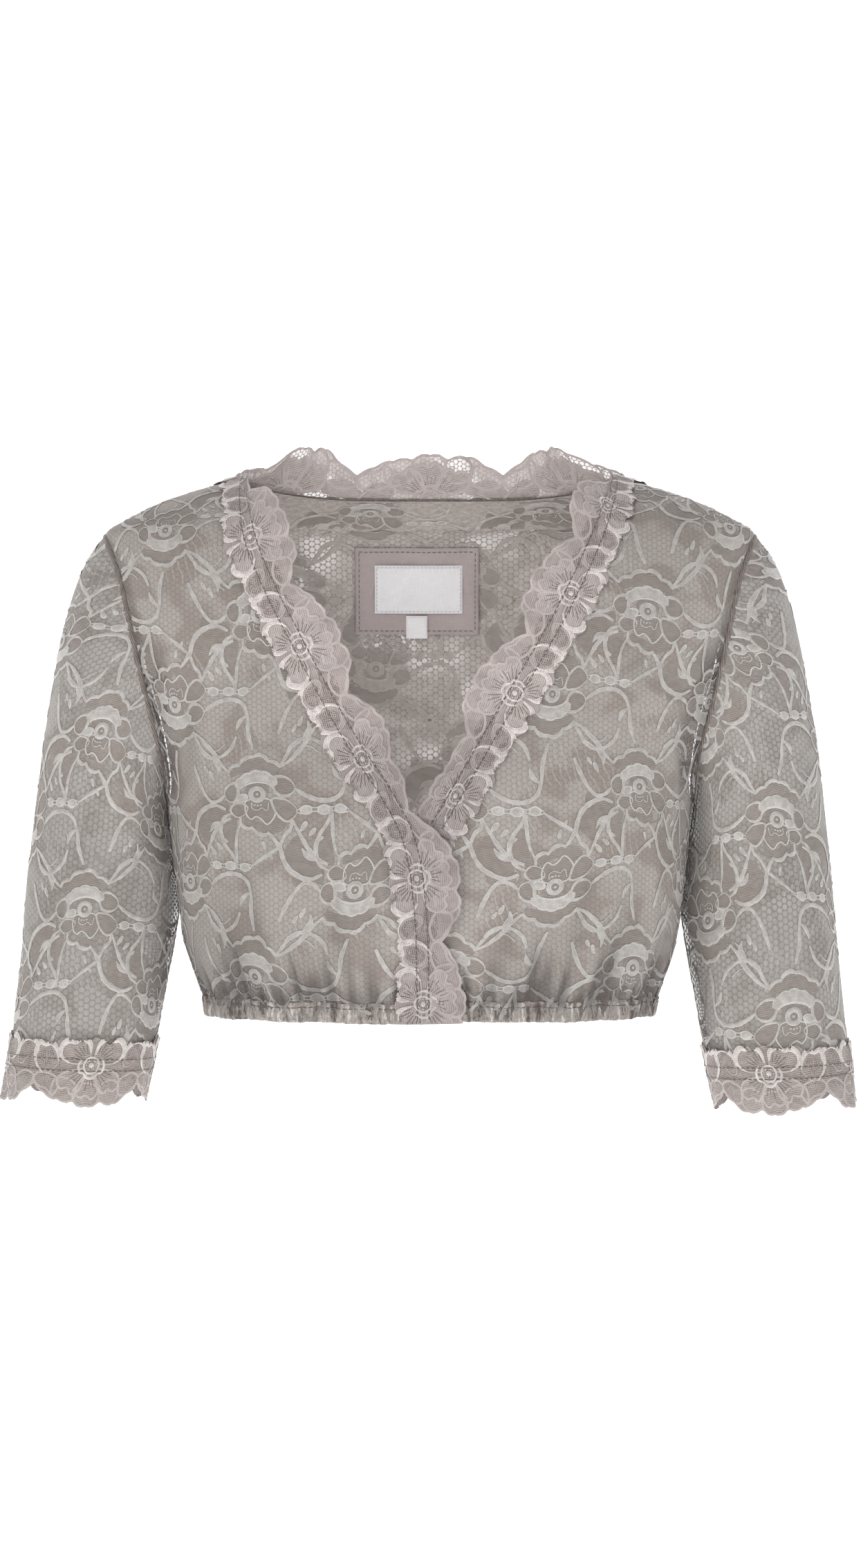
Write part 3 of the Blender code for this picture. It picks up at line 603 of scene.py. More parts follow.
class Shade:
    """A Principled material with small helpers for its nodes."""

    def __init__(self, name, roughness=0.75, sheen=0.25, specular=0.3):
        self.mat = bpy.data.materials.new(name)
        self.mat.use_nodes = True
        self.tree = self.mat.node_tree
        self.out = self.tree.nodes["Principled BSDF"]
        self.out.inputs["Roughness"].default_value = roughness
        self.out.inputs["Sheen Weight"].default_value = sheen
        self.out.inputs["Sheen Roughness"].default_value = 0.45
        self.out.inputs["Specular IOR Level"].default_value = specular
        uv = self.tree.nodes.new("ShaderNodeUVMap")
        uv.uv_map = "cloth"
        self.uv = uv.outputs["UV"]

    def put(self, socket, value):
        if hasattr(value, "is_output"):
            self.tree.links.new(value, socket)
        else:
            socket.default_value = value

    def math(self, op, a, b=0.0, c=0.0, clamp=False):
        n = self.tree.nodes.new("ShaderNodeMath")
        n.operation = op
        n.use_clamp = clamp
        for socket, value in zip(n.inputs, (a, b, c)):
            self.put(socket, value)
        return n.outputs[0]

    def add(self, a, b):
        return self.math("ADD", a, b)

    def mul(self, a, b):
        return self.math("MULTIPLY", a, b)

    def sub(self, a, b):
        return self.math("SUBTRACT", a, b)

    def ramp(self, x, low, high, out_low=0.0, out_high=1.0):
        n = self.tree.nodes.new("ShaderNodeMapRange")
        n.interpolation_type = "SMOOTHSTEP"
        self.put(n.inputs["Value"], x)
        n.inputs["From Min"].default_value = low
        n.inputs["From Max"].default_value = high
        n.inputs["To Min"].default_value = out_low
        n.inputs["To Max"].default_value = out_high
        return n.outputs["Result"]

    def mix(self, f, a, b):
        n = self.tree.nodes.new("ShaderNodeMix")
        n.data_type = "RGBA"
        self.put(n.inputs["Factor"], f)
        self.put([s for s in n.inputs if s.name == "A" and s.type == "RGBA"][0], a)
        self.put([s for s in n.inputs if s.name == "B" and s.type == "RGBA"][0], b)
        return [s for s in n.outputs if s.type == "RGBA"][0]

    def tag(self, name):
        n = self.tree.nodes.new("ShaderNodeAttribute")
        n.attribute_name = name
        return n.outputs["Fac"]

    def scaled(self, x, y):
        n = self.tree.nodes.new("ShaderNodeMapping")
        self.put(n.inputs["Vector"], self.uv)
        n.inputs["Scale"].default_value = (x, y, 1)
        return n.outputs["Vector"]

    def noise(self, x, y=None, detail=2.0, rough=0.5):
        n = self.tree.nodes.new("ShaderNodeTexNoise")
        self.put(n.inputs["Vector"], self.scaled(x, x if y is None else y))
        n.inputs["Scale"].default_value = 1.0
        n.inputs["Detail"].default_value = detail
        n.inputs["Roughness"].default_value = rough
        return n.outputs["Fac"]

    def uv_parts(self, wander=0.0, size=260):
        s = self.tree.nodes.new("ShaderNodeSeparateXYZ")
        self.put(s.inputs[0], self.uv)
        u, v = s.outputs["X"], s.outputs["Y"]
        if wander:
            u = self.add(u, self.mul(self.sub(self.noise(size), 0.5), wander))
            v = self.add(v, self.mul(self.sub(self.noise(size * 0.83, size * 1.1), 0.5), wander))
        return u, v

    def wave(self, u, v, au, av):
        return self.math("COSINE", self.add(self.mul(u, au), self.mul(v, av)))

    def net(self, period, wander=0.0010, low=-0.25, high=-0.95, stretch=1.0):
        """1 on the threads of a six-sided net, 0 in its holes."""
        u, v = self.uv_parts(wander)
        k = 2 * math.pi / (period * math.sqrt(3) / 2)
        f = self.add(self.add(self.wave(u, v, k, 0), self.wave(u, v, -0.5 * k, 0.866 * k * stretch)),
                     self.wave(u, v, -0.5 * k, -0.866 * k * stretch))
        return self.ramp(f, low, high)

    def bump(self, height, distance, strength=1.0):
        n = self.tree.nodes.new("ShaderNodeBump")
        n.inputs["Strength"].default_value = strength
        n.inputs["Distance"].default_value = distance
        self.put(n.inputs["Height"], height)
        self.tree.links.new(n.outputs["Normal"], self.out.inputs["Normal"])

    def colour(self, value):
        self.put(self.out.inputs["Base Color"], value)

    def rough(self, value):
        self.put(self.out.inputs["Roughness"], value)

    def alpha(self, value):
        self.put(self.out.inputs["Alpha"], value)


GAIN = 1.0   # how bright the cloth is against the values read off the photo


def ground_material(name, base, line, brown, cover, hole_cover, period=0.0021, open_net_and_shade=False, zone=0.5,
                    line_share=0.5, open_zone=(0.60, 0.72), thread=(-0.25, -0.95)):
    """Net between the figures: fine threads, browner zones and open patches."""
    m = Shade(name, roughness=0.84, sheen=0.20, specular=0.2)
    net = m.net(period, low=thread[0], high=thread[1])
    patches = m.ramp(m.noise(36, 42, detail=1.5), 0.47, 0.60)
    fine = m.noise(1500, 5200, detail=1.0)
    cloudy = m.noise(90, 120, detail=2.5)
    slub = m.noise(220, 1900, detail=1.5)
    ground = m.mix(m.mul(patches, zone), lin(base, GAIN), lin(brown, GAIN))
    tone = m.add(m.mul(m.sub(fine, 0.5), 0.34), m.add(m.mul(m.sub(cloudy, 0.5), 0.30), m.mul(m.sub(slub, 0.5), 0.30)))
    ground = m.mix(m.ramp(tone, -0.20, 0.20, 0.0, 0.42), ground, lin(line, GAIN))
    # fine curved lines, as where two layers of net cross
    u, v = m.uv_parts(0.012, 42)
    moire = m.ramp(m.math("COSINE", m.mul(m.add(u, m.mul(v, 0.35)), 2 * math.pi / 0.0047)), 0.80, 0.98)
    moire = m.mul(moire, m.ramp(m.noise(30, 26, detail=1.0), 0.48, 0.58))
    col = m.mix(m.mul(net, m.add(m.mul(patches, 0.30), line_share)), ground, lin(line, GAIN))
    col = m.mix(m.mul(moire, 0.38), col, lin([min(255, 1.12 * c) for c in base], GAIN))
    shade = m.tag("shade")
    col = m.mix(m.mul(shade, 0.72), col, lin([c * 0.42 for c in line], GAIN))
    if open_net_and_shade:
        # net marked "open" is drawn darker here: painted shade by the side seams and next to the body
        col = m.mix(m.mul(m.tag("open"), 0.75), col, lin([c * 0.62 for c in line], GAIN))
    m.colour(col)
    opened = m.ramp(m.noise(20, 25, detail=1.0), *open_zone)
    solid = m.add(m.mul(m.sub(cloudy, 0.5), 0.14), cover)
    holes = m.add(m.mul(net, 0.97 - hole_cover), hole_cover)
    alpha = m.add(m.mul(opened, m.sub(holes, solid)), solid)
    alpha = m.math("MAXIMUM", alpha, m.mul(net, 0.93))
    if open_net_and_shade:
        # the lining ends before the side seam, where the net is open
        bare = m.ramp(net, 0.12, 0.60, 0.30, 0.98)
        closed = 1.0 if cover >= 1 else alpha
        alpha = m.add(m.mul(m.sub(1.0, m.tag("open")), closed), m.mul(m.tag("open"), bare))
    m.alpha(m.math("MINIMUM", alpha, 1.0, clamp=True))
    m.bump(m.add(m.mul(net, 0.8), m.mul(fine, 0.5)), 0.00022, 0.55)
    return m.mat


def thread_material(name, light, mid, edge, shine=0.62, twill=(900, 2600), dim=0.70, rim_share=0.8):
    """Flat cord of many threads with a slightly brighter outline."""
    m = Shade(name, roughness=shine, sheen=0.25, specular=0.34)
    across = m.math("ABSOLUTE", m.tag("across"))
    rim = m.ramp(across, 0.60, 0.84)
    u, v = m.uv_parts(0.0006, 400)
    lean = m.math("COSINE", m.mul(m.add(u, m.mul(v, 1.6)), 2 * math.pi / 0.00125))
    grain = m.noise(twill[0], twill[1], detail=2.0, rough=0.6)
    cell = m.noise(2100, 2100, detail=1.0)
    wide = m.noise(210, 210, detail=2.0)
    f = m.add(m.mul(grain, 0.55), m.add(m.mul(cell, 0.35), m.add(m.mul(lean, 0.08), m.mul(m.sub(wide, 0.5), 0.55))))
    body = m.mix(m.ramp(f, 0.30, 0.62), lin(mid, GAIN), lin(light, GAIN))
    col = m.mix(m.mul(rim, m.ramp(m.noise(700), 0.30, 0.62, 0.25, rim_share)), body, lin(edge, GAIN))
    # a narrow dark line where a cord meets the net
    col = m.mix(m.mul(m.ramp(across, 0.93, 1.0), 0.40), col, lin([c * 0.62 for c in mid], GAIN))
    col = m.mix(m.mul(m.tag("shade"), dim), col, lin([c * 0.40 for c in mid], GAIN))
    m.colour(col)
    m.rough(m.ramp(grain, 0.3, 0.7, shine + 0.12, shine - 0.08))
    m.bump(m.add(m.mul(rim, 0.9), m.add(m.mul(grain, 0.7), m.mul(cell, 0.4))), 0.00030, 0.7)
    return m.mat


def weave_material(name, dark, mid, alpha=0.94, dots=0.0, rows_to=0.00115, contrast=1.0):
    """Closely worked ground inside the figures: fine rows and pinholes."""
    m = Shade(name, roughness=0.8, sheen=0.22, specular=0.22)
    u, v = m.uv_parts(0.0012, 200)
    rows = m.ramp(m.wave(u, v, 900, 2 * math.pi / rows_to), -0.5, 0.8)
    patch = m.noise(260, 260, detail=2.0)
    grain = m.noise(1900, 2600, detail=1.0)
    f = m.add(m.mul(rows, 0.34), m.add(m.mul(patch, 0.62), m.mul(grain, 0.3)))
    half = 0.28 / contrast
    col = m.mix(m.ramp(f, 0.60 - half, 0.60 + half), lin(dark, GAIN), lin(mid, GAIN))
    if dots:
        k = 2 * math.pi / 0.0019
        spots = m.ramp(m.mul(m.wave(u, v, k, 0.45 * k), m.wave(u, v, -0.5 * k, k)), 0.22, 0.66)
        spots = m.mul(spots, m.ramp(m.noise(420), 0.30, 0.52))
        col = m.mix(m.mul(spots, dots), col, lin([c * 0.50 for c in dark], GAIN))
    col = m.mix(m.mul(m.tag("shade"), 0.72), col, lin([c * 0.40 for c in dark], GAIN))
    m.colour(col)
    m.alpha(alpha)
    m.bump(m.add(m.mul(rows, 0.6), m.mul(grain, 0.5)), 0.00022, 0.55)
    return m.mat


def casing_material(name, dark, mid, light):
    m = Shade(name, roughness=0.8, sheen=0.2, specular=0.22)
    lumps = m.noise(330, 95, detail=2.0)
    small = m.noise(1100, 620, detail=2.0, rough=0.6)
    broad = m.noise(95, 60, detail=1.0)
    f = m.add(m.mul(lumps, 0.62), m.add(m.mul(small, 0.40), m.mul(m.sub(broad, 0.5), 0.40)))
    # the casing runs from dark in the gaps between the gathers to light on the puffs: painted shade and painted light
    col = m.mix(m.ramp(f, 0.36, 0.56), lin(dark, GAIN), lin(mid, GAIN))
    col = m.mix(m.ramp(f, 0.56, 0.68), col, lin(light, GAIN))
    col = m.mix(m.mul(m.tag("shade"), 0.6), col, lin([c * 0.4 for c in dark], GAIN))
    m.colour(col)
    m.bump(f, 0.0011, 0.8)
    return m.mat


def plain_weave(name, base, thread, count=2300, shine=0.7, alpha=1.0):
    m = Shade(name, roughness=shine, sheen=0.25, specular=0.3)
    u, v = m.uv_parts(0.0005, 300)
    warp = m.math("COSINE", m.mul(u, 2 * math.pi * count * 0.6))
    weft = m.math("COSINE", m.mul(v, 2 * math.pi * count * 0.55))
    cross = m.ramp(m.mul(warp, weft), -0.7, 0.7)
    slub = m.noise(160, 2400, detail=2.0)
    slub2 = m.noise(2400, 160, detail=2.0)
    soft = m.noise(40, 55, detail=2.0)
    f = m.add(m.mul(cross, 0.3), m.add(m.mul(slub, 0.35), m.add(m.mul(slub2, 0.35), m.mul(soft, 0.25))))
    m.colour(m.mix(m.ramp(f, 0.36, 0.86), lin(thread, GAIN), lin(base, GAIN)))
    m.alpha(alpha)
    m.bump(m.add(cross, m.mul(m.add(slub, slub2), 0.6)), 0.00016, 0.5)
    return m.mat


MAT = {}
MAT["front"] = ground_material("front_ground", (176, 170, 165), (142, 132, 126), (150, 139, 133), 1.0, 1.0,
                               period=0.0036, open_net_and_shade=True, zone=0.80, line_share=0.50, thread=(-0.55, -1.10))
MAT["back"] = ground_material("back_ground", (182, 173, 168), (140, 129, 123), (160, 149, 143), 0.96, 0.79,
                              period=0.0040, zone=0.5, line_share=0.72, open_zone=(0.51, 0.66), thread=(-0.60, -1.10))
MAT["sleeve"] = ground_material("sleeve_ground", (177, 173, 168), (136, 129, 124), (156, 148, 142), 0.80, 0.66,
                                period=0.0040, open_net_and_shade=True, zone=0.65, line_share=0.70, open_zone=(0.58, 0.74),
                                thread=(-0.50, -1.05))
MAT["cord"] = thread_material("lace_cord", (201, 197, 193), (166, 160, 155), (209, 206, 202))
MAT["dense"] = thread_material("lace_dense", (200, 196, 192), (162, 156, 151), (208, 205, 201), twill=(1500, 1500))
MAT["weave"] = weave_material("lace_weave", (147, 137, 131), (179, 170, 163), 0.64)
MAT["thin"] = thread_material("lace_outline", (214, 211, 207), (190, 186, 182), (216, 213, 210))
MAT["trim_cord"] = thread_material("trim_cord", (240, 231, 229), (184, 173, 170), (248, 242, 240), shine=0.48,
                                   twill=(1300, 1300))
MAT["trim_soft"] = thread_material("trim_soft_edge", (202, 191, 189), (184, 173, 170), (208, 198, 196), shine=0.66)
MAT["trim_ground"] = weave_material("trim_ground", (158, 146, 143), (192, 181, 178), 0.97, contrast=0.9)
MAT["trim_petal"] = weave_material("trim_petal", (164, 153, 150), (204, 194, 191), 1.0, dots=0.30)
MAT["trim_dots"] = weave_material("trim_dots", (136, 124, 120), (184, 173, 169), 1.0, dots=0.80)
MAT["inner_weave"] = weave_material("inner_weave", (158, 149, 144), (184, 175, 170), 0.55)
MAT["back_weave"] = weave_material("back_weave", (152, 142, 137), (180, 171, 165), 0.45)
MAT["trim_vein"] = weave_material("trim_vein", (100, 90, 86), (136, 125, 121), 1.0)
# casing colours: dark is painted shade in the gaps of the gathers, light is painted light on the puffs
MAT["casing"] = casing_material("casing_cloth", (86, 78, 74), (150, 142, 137), (198, 193, 189))
MAT["trim_net"] = ground_material("trim_net", (208, 197, 194), (164, 152, 148), (194, 182, 178), 0.92, 0.60,
                                  period=0.0030, zone=0.5, line_share=0.55, open_zone=(0.54, 0.62), thread=(-0.55, -1.05))
MAT["cuff_cord"] = thread_material("cuff_cord", (230, 224, 221), (184, 175, 171), (236, 231, 228), shine=0.52)
MAT["cuff_soft"] = thread_material("cuff_soft_edge", (198, 189, 186), (178, 168, 164), (206, 197, 194), shine=0.66)
MAT["cuff_petal"] = weave_material("cuff_petal", (146, 135, 130), (188, 178, 173), 1.0, dots=0.35)
MAT["cuff_ground"] = weave_material("cuff_ground", (142, 131, 126), (182, 172, 167), 0.97, dots=0.30)
MAT["inner_cord"] = thread_material("inner_cord", (186, 178, 173), (160, 151, 145), (190, 183, 178))
MAT["seam"] = weave_material("seam_cloth", (96, 87, 82), (146, 137, 131), 1.0)
MAT["band"] = weave_material("neck_band_cloth", (156, 146, 141), (218, 209, 204), 0.95, dots=0.7)
MAT["stitch"] = thread_material("stitch_thread", (112, 104, 100), (92, 85, 81), (120, 112, 108), shine=0.5)
MAT["stitch_light"] = thread_material("stitch_light", (196, 194, 196), (176, 174, 177), (200, 198, 200), shine=0.5)
MAT["patch"] = plain_weave("patch_cotton", (186, 175, 174), (158, 147, 146), 1900)
MAT["label"] = plain_weave("label_satin", (249, 247, 250), (222, 220, 224), 3000, shine=0.5)


# ------------------------------------------------------------ flat lace figures
# Everything here is in millimetres on the flat cloth.
CORD, DENSE, WEAVE, THIN = 0, 1, 2, 3
ACROSS = np.array([-1.0, -0.60, 0.60, 1.0])
DOME = np.array([0.0, 0.9, 0.9, 0.0])


def smooth_path(points, closed=False, step=1.4):
    p = np.array(points, float)
    q = np.vstack([p[-1:], p, p[:2]]) if closed else np.vstack([2 * p[0] - p[1], p, 2 * p[-1] - p[-2]])
    t = np.linspace(0, 1, 14, endpoint=False)[:, None]
    out = []
    for a, b, c, d in zip(q, q[1:], q[2:], q[3:]):
        out.append(0.5 * (2 * b + (c - a) * t + (2 * a - 5 * b + 4 * c - d) * t**2 + (3 * b - a - 3 * c + d) * t**3))
    out.append(p[:1] if closed else p[-1:])
    out = np.vstack(out)
    length = np.concatenate([[0], np.cumsum(np.linalg.norm(np.diff(out[:, :2], axis=0), axis=1))])
    count = max(3, int(round(length[-1] / step)))
    at = np.linspace(0, length[-1], count + 1)
    out = np.stack([np.interp(at, length, out[:, k]) for k in range(out.shape[1])], 1)
    return out[:-1] if closed else out


class Figure:
    """Flat pieces of lace: points, heights, place across a thread, faces."""

    def __init__(self, uneven=0.0):
        self.uneven = uneven
        self.xy, self.h, self.across, self.faces, self.slots = [], [], [], [], []
        self.count = 0

    def put(self, xy, h, across, faces, slot):
        self.xy.append(np.asarray(xy, float))
        self.h.append(np.broadcast_to(np.asarray(h, float), (len(xy),)).copy())
        self.across.append(np.broadcast_to(np.asarray(across, float), (len(xy),)).copy())
        for f in faces:
            self.faces.append(f + self.count)
            self.slots.append(np.full(len(f), slot))
        self.count += len(xy)

    def ribbon(self, points, width=None, closed=False, slot=CORD, h=0.30, dome=0.16, step=1.4, left=None, wavy=0.0,
               lobes=0):
        """A cord along points; a third number in each point is its half width."""
        if len(points[0]) == 2:
            points = [(x, y, width) for x, y in points]
        path = smooth_path(points, closed, step)
        xy, w = path[:, :2], np.maximum(path[:, 2], 0.08)
        if slot == CORD and self.uneven:
            along = np.arange(len(xy)) * step
            w = 0.74 * w * (1 + self.uneven * (np.sin(along * 0.93 + xy[0, 0]) * 0.55 + np.sin(along * 2.2 + xy[0, 1]) * 0.45))
        ahead = np.roll(xy, -1, 0) - np.roll(xy, 1, 0)
        if not closed:
            ahead[0], ahead[-1] = xy[1] - xy[0], xy[-1] - xy[-2]
        ahead = unit(ahead)
        side = np.stack([-ahead[:, 1], ahead[:, 0]], 1)
        right = w * (1 if left is None else 1)
        leftw = w if left is None else w * left
        if lobes:
            s = np.linspace(0, 1, len(xy))
            leftw = leftw * (1 + wavy * (np.abs(np.sin(s * math.pi * lobes)) - 0.6))
        widths = np.where(ACROSS[None, :] > 0, leftw[:, None], right[:, None])
        grid = xy[:, None, :] + side[:, None, :] * (ACROSS[None, :] * widths)[..., None]
        n, m = grid.shape[:2]
        hs = h + dome * DOME[None, :] * np.ones((n, 1))
        faces = grid_faces(n, m)
        if closed:
            a = (n - 1) * m + np.arange(m - 1)
            b = np.arange(m - 1)
            faces = np.vstack([faces, np.stack([a, a + 1, b + 1, b], 1)])
        self.put(grid.reshape(-1, 2), hs.ravel(), np.tile(ACROSS, n), [faces[:, ::-1]], slot)

    def fill(self, points, slot=WEAVE, h=0.10, closed_path=True, step=2.2, dome=0.0, rim=0.0):
        """A filled outline, as a fan of two rings about its middle."""
        edge = smooth_path(points, True, step)[:, :2] if closed_path else np.array(points, float)[:, :2]
        mid = edge.mean(0)
        inner = mid + (edge - mid) * 0.5
        n = len(edge)
        xy = np.vstack([edge, inner, mid[None]])
        i = np.arange(n)
        j = (i + 1) % n
        area = np.sum(edge[i, 0] * edge[j, 1] - edge[j, 0] * edge[i, 1])
        quads = np.stack([i, j, j + n, i + n], 1)
        tris = np.stack([i + n, j + n, np.full(n, 2 * n)], 1)
        if area < 0:
            quads, tris = quads[:, ::-1], tris[:, ::-1]
        hs = np.concatenate([np.full(n, h), np.full(n, h + 0.7 * dome), [h + dome]])
        across = np.concatenate([np.full(n, rim), np.full(n, 0.5 * rim), [0.0]])
        self.put(xy, hs, across, [quads, tris], slot)

    def oval(self, x, y, rx, ry, turn=0.0, slot=DENSE, h=0.28, dome=0.2, rim=1.0, pinch=0.0):
        a = np.linspace(0, 2 * math.pi, 19)[:-1]
        c, s = math.cos(math.radians(turn)), math.sin(math.radians(turn))
        px, py = rx * np.cos(a) * (1 + pinch * np.sin(a)), ry * np.sin(a)
        self.fill(np.stack([x + c * px - s * py, y + s * px + c * py], 1), slot, h, False, dome=dome, rim=rim)

    def done(self):
        self.xy = np.vstack(self.xy)
        self.h = np.concatenate(self.h)
        self.across = np.concatenate(self.across)
        quads = [(f, s) for f, s in zip(self.faces, self.slots) if f.shape[1] == 4]
        tris = [(f, s) for f, s in zip(self.faces, self.slots) if f.shape[1] == 3]
        self.quads = np.vstack([f for f, s in quads]) if quads else np.zeros((0, 4), int)
        self.quad_slots = np.concatenate([s for f, s in quads]) if quads else np.zeros(0, int)
        self.tris = np.vstack([f for f, s in tris]) if tris else np.zeros((0, 3), int)
        self.tri_slots = np.concatenate([s for f, s in tris]) if tris else np.zeros(0, int)
        return self


TILE_W, TILE_H = 118.0, 112.0


def body_flower():
    """One flower with the cords that leave it; the ring is at 0, 0."""
    f = Figure(uneven=0.17)
    thin = dict(slot=THIN, h=0.24, dome=0.12, step=1.2)
    # closely worked grounds
    f.ribbon([(-16.4, 12.6, 1.4), (-12.6, 15.4, 2.6), (-7, 17.6, 3.2), (-1, 19.6, 3.6), (5.4, 18.0, 3.2), (10.6, 15.0, 2.6),
              (14.2, 12.4, 1.4)], slot=WEAVE, h=0.08, dome=0.02, step=2.2)
    f.ribbon([(-6.6, 0.8, 0.5), (-5.6, 4.4, 1.2), (-1.6, 6.8, 1.4), (2.4, 6.6, 1.4), (5.8, 3.9, 1.1), (6.6, 0.4, 0.5)],
             slot=WEAVE, h=0.12, dome=0.0)
    right = [(10.8, 9.4), (16.6, 9.6), (21.4, 6.2), (22.8, 1.6), (18.8, -1.8), (13.4, -1.4), (10.4, 2.8)]
    left = [(-12.4, 7.4), (-17.4, 7.0), (-20.8, 2.6), (-19.4, -2.6), (-14.8, -4.2), (-12.0, 0.6)]
    low_right = [(8.6, -3.6), (14.4, -3.4), (19.4, -5.8), (23.2, -10.8), (20.4, -15.4), (16.2, -17.0), (10.8, -11.8)]
    low_left = [(-14.2, -5.2), (-17.6, -9.4), (-13.8, -13.8), (-8.4, -12.2), (-6.2, -8.0), (-9.0, -5.6)]
    sheer = [(-6.2, -3.4), (-8.0, -8.0), (-7.2, -12.6), (-4.6, -15.4), (-1.6, -13.6), (1.6, -15.4), (4.8, -18.6), (8.4, -15.8),
             (10.4, -11.4), (8.6, -6.0), (5.6, -3.0)]
    for loop, w in ((right, 1.25), (left, 1.2), (low_right, 0.95), (low_left, 0.9)):
        f.fill(loop, WEAVE, 0.07)
        f.ribbon([(x, y, w * (0.8 + 0.35 * math.sin(1.3 * i + w))) for i, (x, y) in enumerate(loop)], closed=True, h=0.3)
    f.fill(sheer, WEAVE, 0.06)
    f.ribbon(sheer, 0.45, closed=True, **thin)
    f.ribbon([(-3.8, -4.8), (-3.6, -8.4), (-0.4, -9.8), (2.6, -8.4), (5.4, -10.4), (6.8, -5.4)], 0.26, **thin)
    f.fill([(-9, -14.4), (-8.2, -19.4), (-2, -21), (3.6, -24), (9, -24.4), (14, -22.4), (16.4, -18), (10, -13.6), (2, -17.6)],
           WEAVE, 0.05)
    # crown: a compact fan with a scalloped outer edge
    f.ribbon([(-12.0, 4.6, 2.3), (-9.8, 8.0, 3.4), (-5.4, 10.2, 3.9), (0, 11.2, 4.2), (5.2, 10.2, 3.9), (9.2, 7.8, 3.3),
              (11.2, 4.4, 2.2)], slot=DENSE, h=0.26, dome=0.24, left=1.0, wavy=0.24, lobes=5)
    # ring with its eye
    f.ribbon([(3.8 * math.cos(a), 3.8 * math.sin(a)) for a in np.linspace(0, 2 * math.pi, 13)[:-1]], 1.5, closed=True,
             slot=DENSE, h=0.36, dome=0.26, step=0.9)
    f.oval(0, 0, 2.3, 2.3, slot=WEAVE, h=0.16, rim=0.0)
    f.oval(0.2, 0.1, 0.9, 0.8, slot=DENSE, h=0.42)
    f.oval(-9.6, -2.0, 4.4, 2.9, 12, DENSE, 0.28, pinch=0.15)
    for x, y in ((-3.6, -5.7), (-1.9, -6.6), (0.0, -6.9), (1.9, -6.6)):
        f.oval(x, y, 0.75, 0.65, h=0.28)
    # outer arch in flat scallops
    f.ribbon([(-17.8, 15.2, 0.9), (-15.4, 18.4, 1.5), (-11.6, 19.6, 1.6), (-9.6, 18.9, 1.0)], h=0.32)
    f.ribbon([(-10.6, 19.0, 1.0), (-7.6, 22.8, 1.7), (-3.2, 24.2, 1.8), (-0.6, 23.6, 1.1)], h=0.34)
    f.ribbon([(-1.6, 23.8, 1.1), (2.2, 25.0, 1.8), (6.4, 22.8, 1.7), (8.2, 19.6, 1.0)], h=0.32)
    f.ribbon([(7.4, 20.2, 1.0), (11.2, 19.6, 1.6), (14.0, 17.4, 1.5), (15.4, 15.0, 0.9)], h=0.34)
    # lower scalloped cord that runs together in a point
    f.ribbon([(-11.4, -14.0, 0.9), (-11.0, -18.8, 1.5), (-7.0, -21.2, 1.6), (-3.4, -20.2, 1.0)], h=0.32)
    f.ribbon([(-4.4, -20.4, 1.0), (-1.0, -24.0, 1.6), (3.6, -25.0, 1.6), (6.2, -23.4, 1.1)], h=0.34)
    f.ribbon([(5.6, -23.6, 1.0), (9.0, -27.6, 1.5), (12.4, -33.0, 2.0), (14.4, -39.0, 1.8), (18.4, -45.0, 2.2),
              (26.6, -49.4, 2.0), (32.6, -49.6, 1.5), (38.2, -47.0, 1.2)], h=0.32)
    f.ribbon([(19.4, -16.8, 1.0), (18.8, -21.4, 1.6), (15.2, -25.0, 1.5), (13.0, -30.4, 1.2), (12.2, -34.0, 0.9)], h=0.34)
    # cords to the neighbours
    f.ribbon([(20.0, -16.4, 1.0), (24.2, -24.6, 1.5), (28.6, -32.2, 1.9), (34.4, -38.4, 1.8), (41.4, -41.4, 1.2)], h=0.28)
    f.ribbon([(14.6, 15.8, 1.0), (19.2, 21.8, 1.5), (23.2, 28.0, 1.9), (29.6, 31.4, 1.7), (37.0, 30.2, 1.5), (43.4, 25.2, 1.7),
              (46.6, 17.6, 1.0)], h=0.28)
    f.ribbon([(-17.4, 15.6, 1.0), (-22.6, 20.6, 1.4), (-27.4, 27.2, 2.2), (-33.4, 33.6, 1.7), (-39.0, 37.8, 1.4),
              (-44.4, 40.2, 1.0)], h=0.28)
    f.ribbon([(22.4, 2.4, 1.0), (27.8, -1.8, 1.7), (35.2, -5.2, 1.9), (43.6, -5.6, 1.8), (50.4, -1.4, 1.6), (53.4, 7.0, 1.4),
              (54.4, 16.6, 1.9), (57.8, 27.6, 1.1)], h=0.27)
    f.ribbon([(-20.8, 0.6, 1.0), (-25.4, -3.2, 1.6), (-31.2, -3.8, 1.6), (-36.4, 1.8, 1.5), (-40.6, 10.2, 1.9),
              (-44.0, 19.4, 1.2)], h=0.27)
    f.ribbon([(-16.6, -11.0, 0.9), (-22.8, -14.6, 1.5), (-25.6, -22.4, 1.9), (-23.4, -31.0, 1.5), (-18.0, -38.6, 1.4),
              (-15.4, -46.4, 1.0)], h=0.28)
    f.ribbon([(-11.4, -17.4, 0.8), (-14.6, -25.6, 1.2), (-15.6, -35.0, 1.6), (-15.2, -43.6, 0.9)], h=0.3)
    # chain of rounded beads
    f.ribbon([(22.6, -11.2), (28.4, -8.2), (33.6, -9.8), (39.0, -8.2), (44.0, -9.6), (49.0, -7.8), (53.6, -11.0)], 0.34, **thin)
    f.ribbon([(22.6, -12.0), (28.6, -13.2), (33.6, -11.6), (39.0, -13.6), (44.0, -11.6), (49.0, -13.0), (53.6, -12.0)], 0.34, **thin)
    for x, y, r in ((28.4, -10.8, 3.9), (38.8, -11.0, 4.1), (48.8, -10.6, 3.8)):
        f.oval(x, y, r, 0.74 * r, 0, DENSE, 0.28, pinch=0.0)
    f.ribbon([(53.2, -11.4, 0.8), (58.8, -15.6, 1.4), (64.4, -19.4, 1.7), (71.0, -24.0, 1.0)], h=0.28)
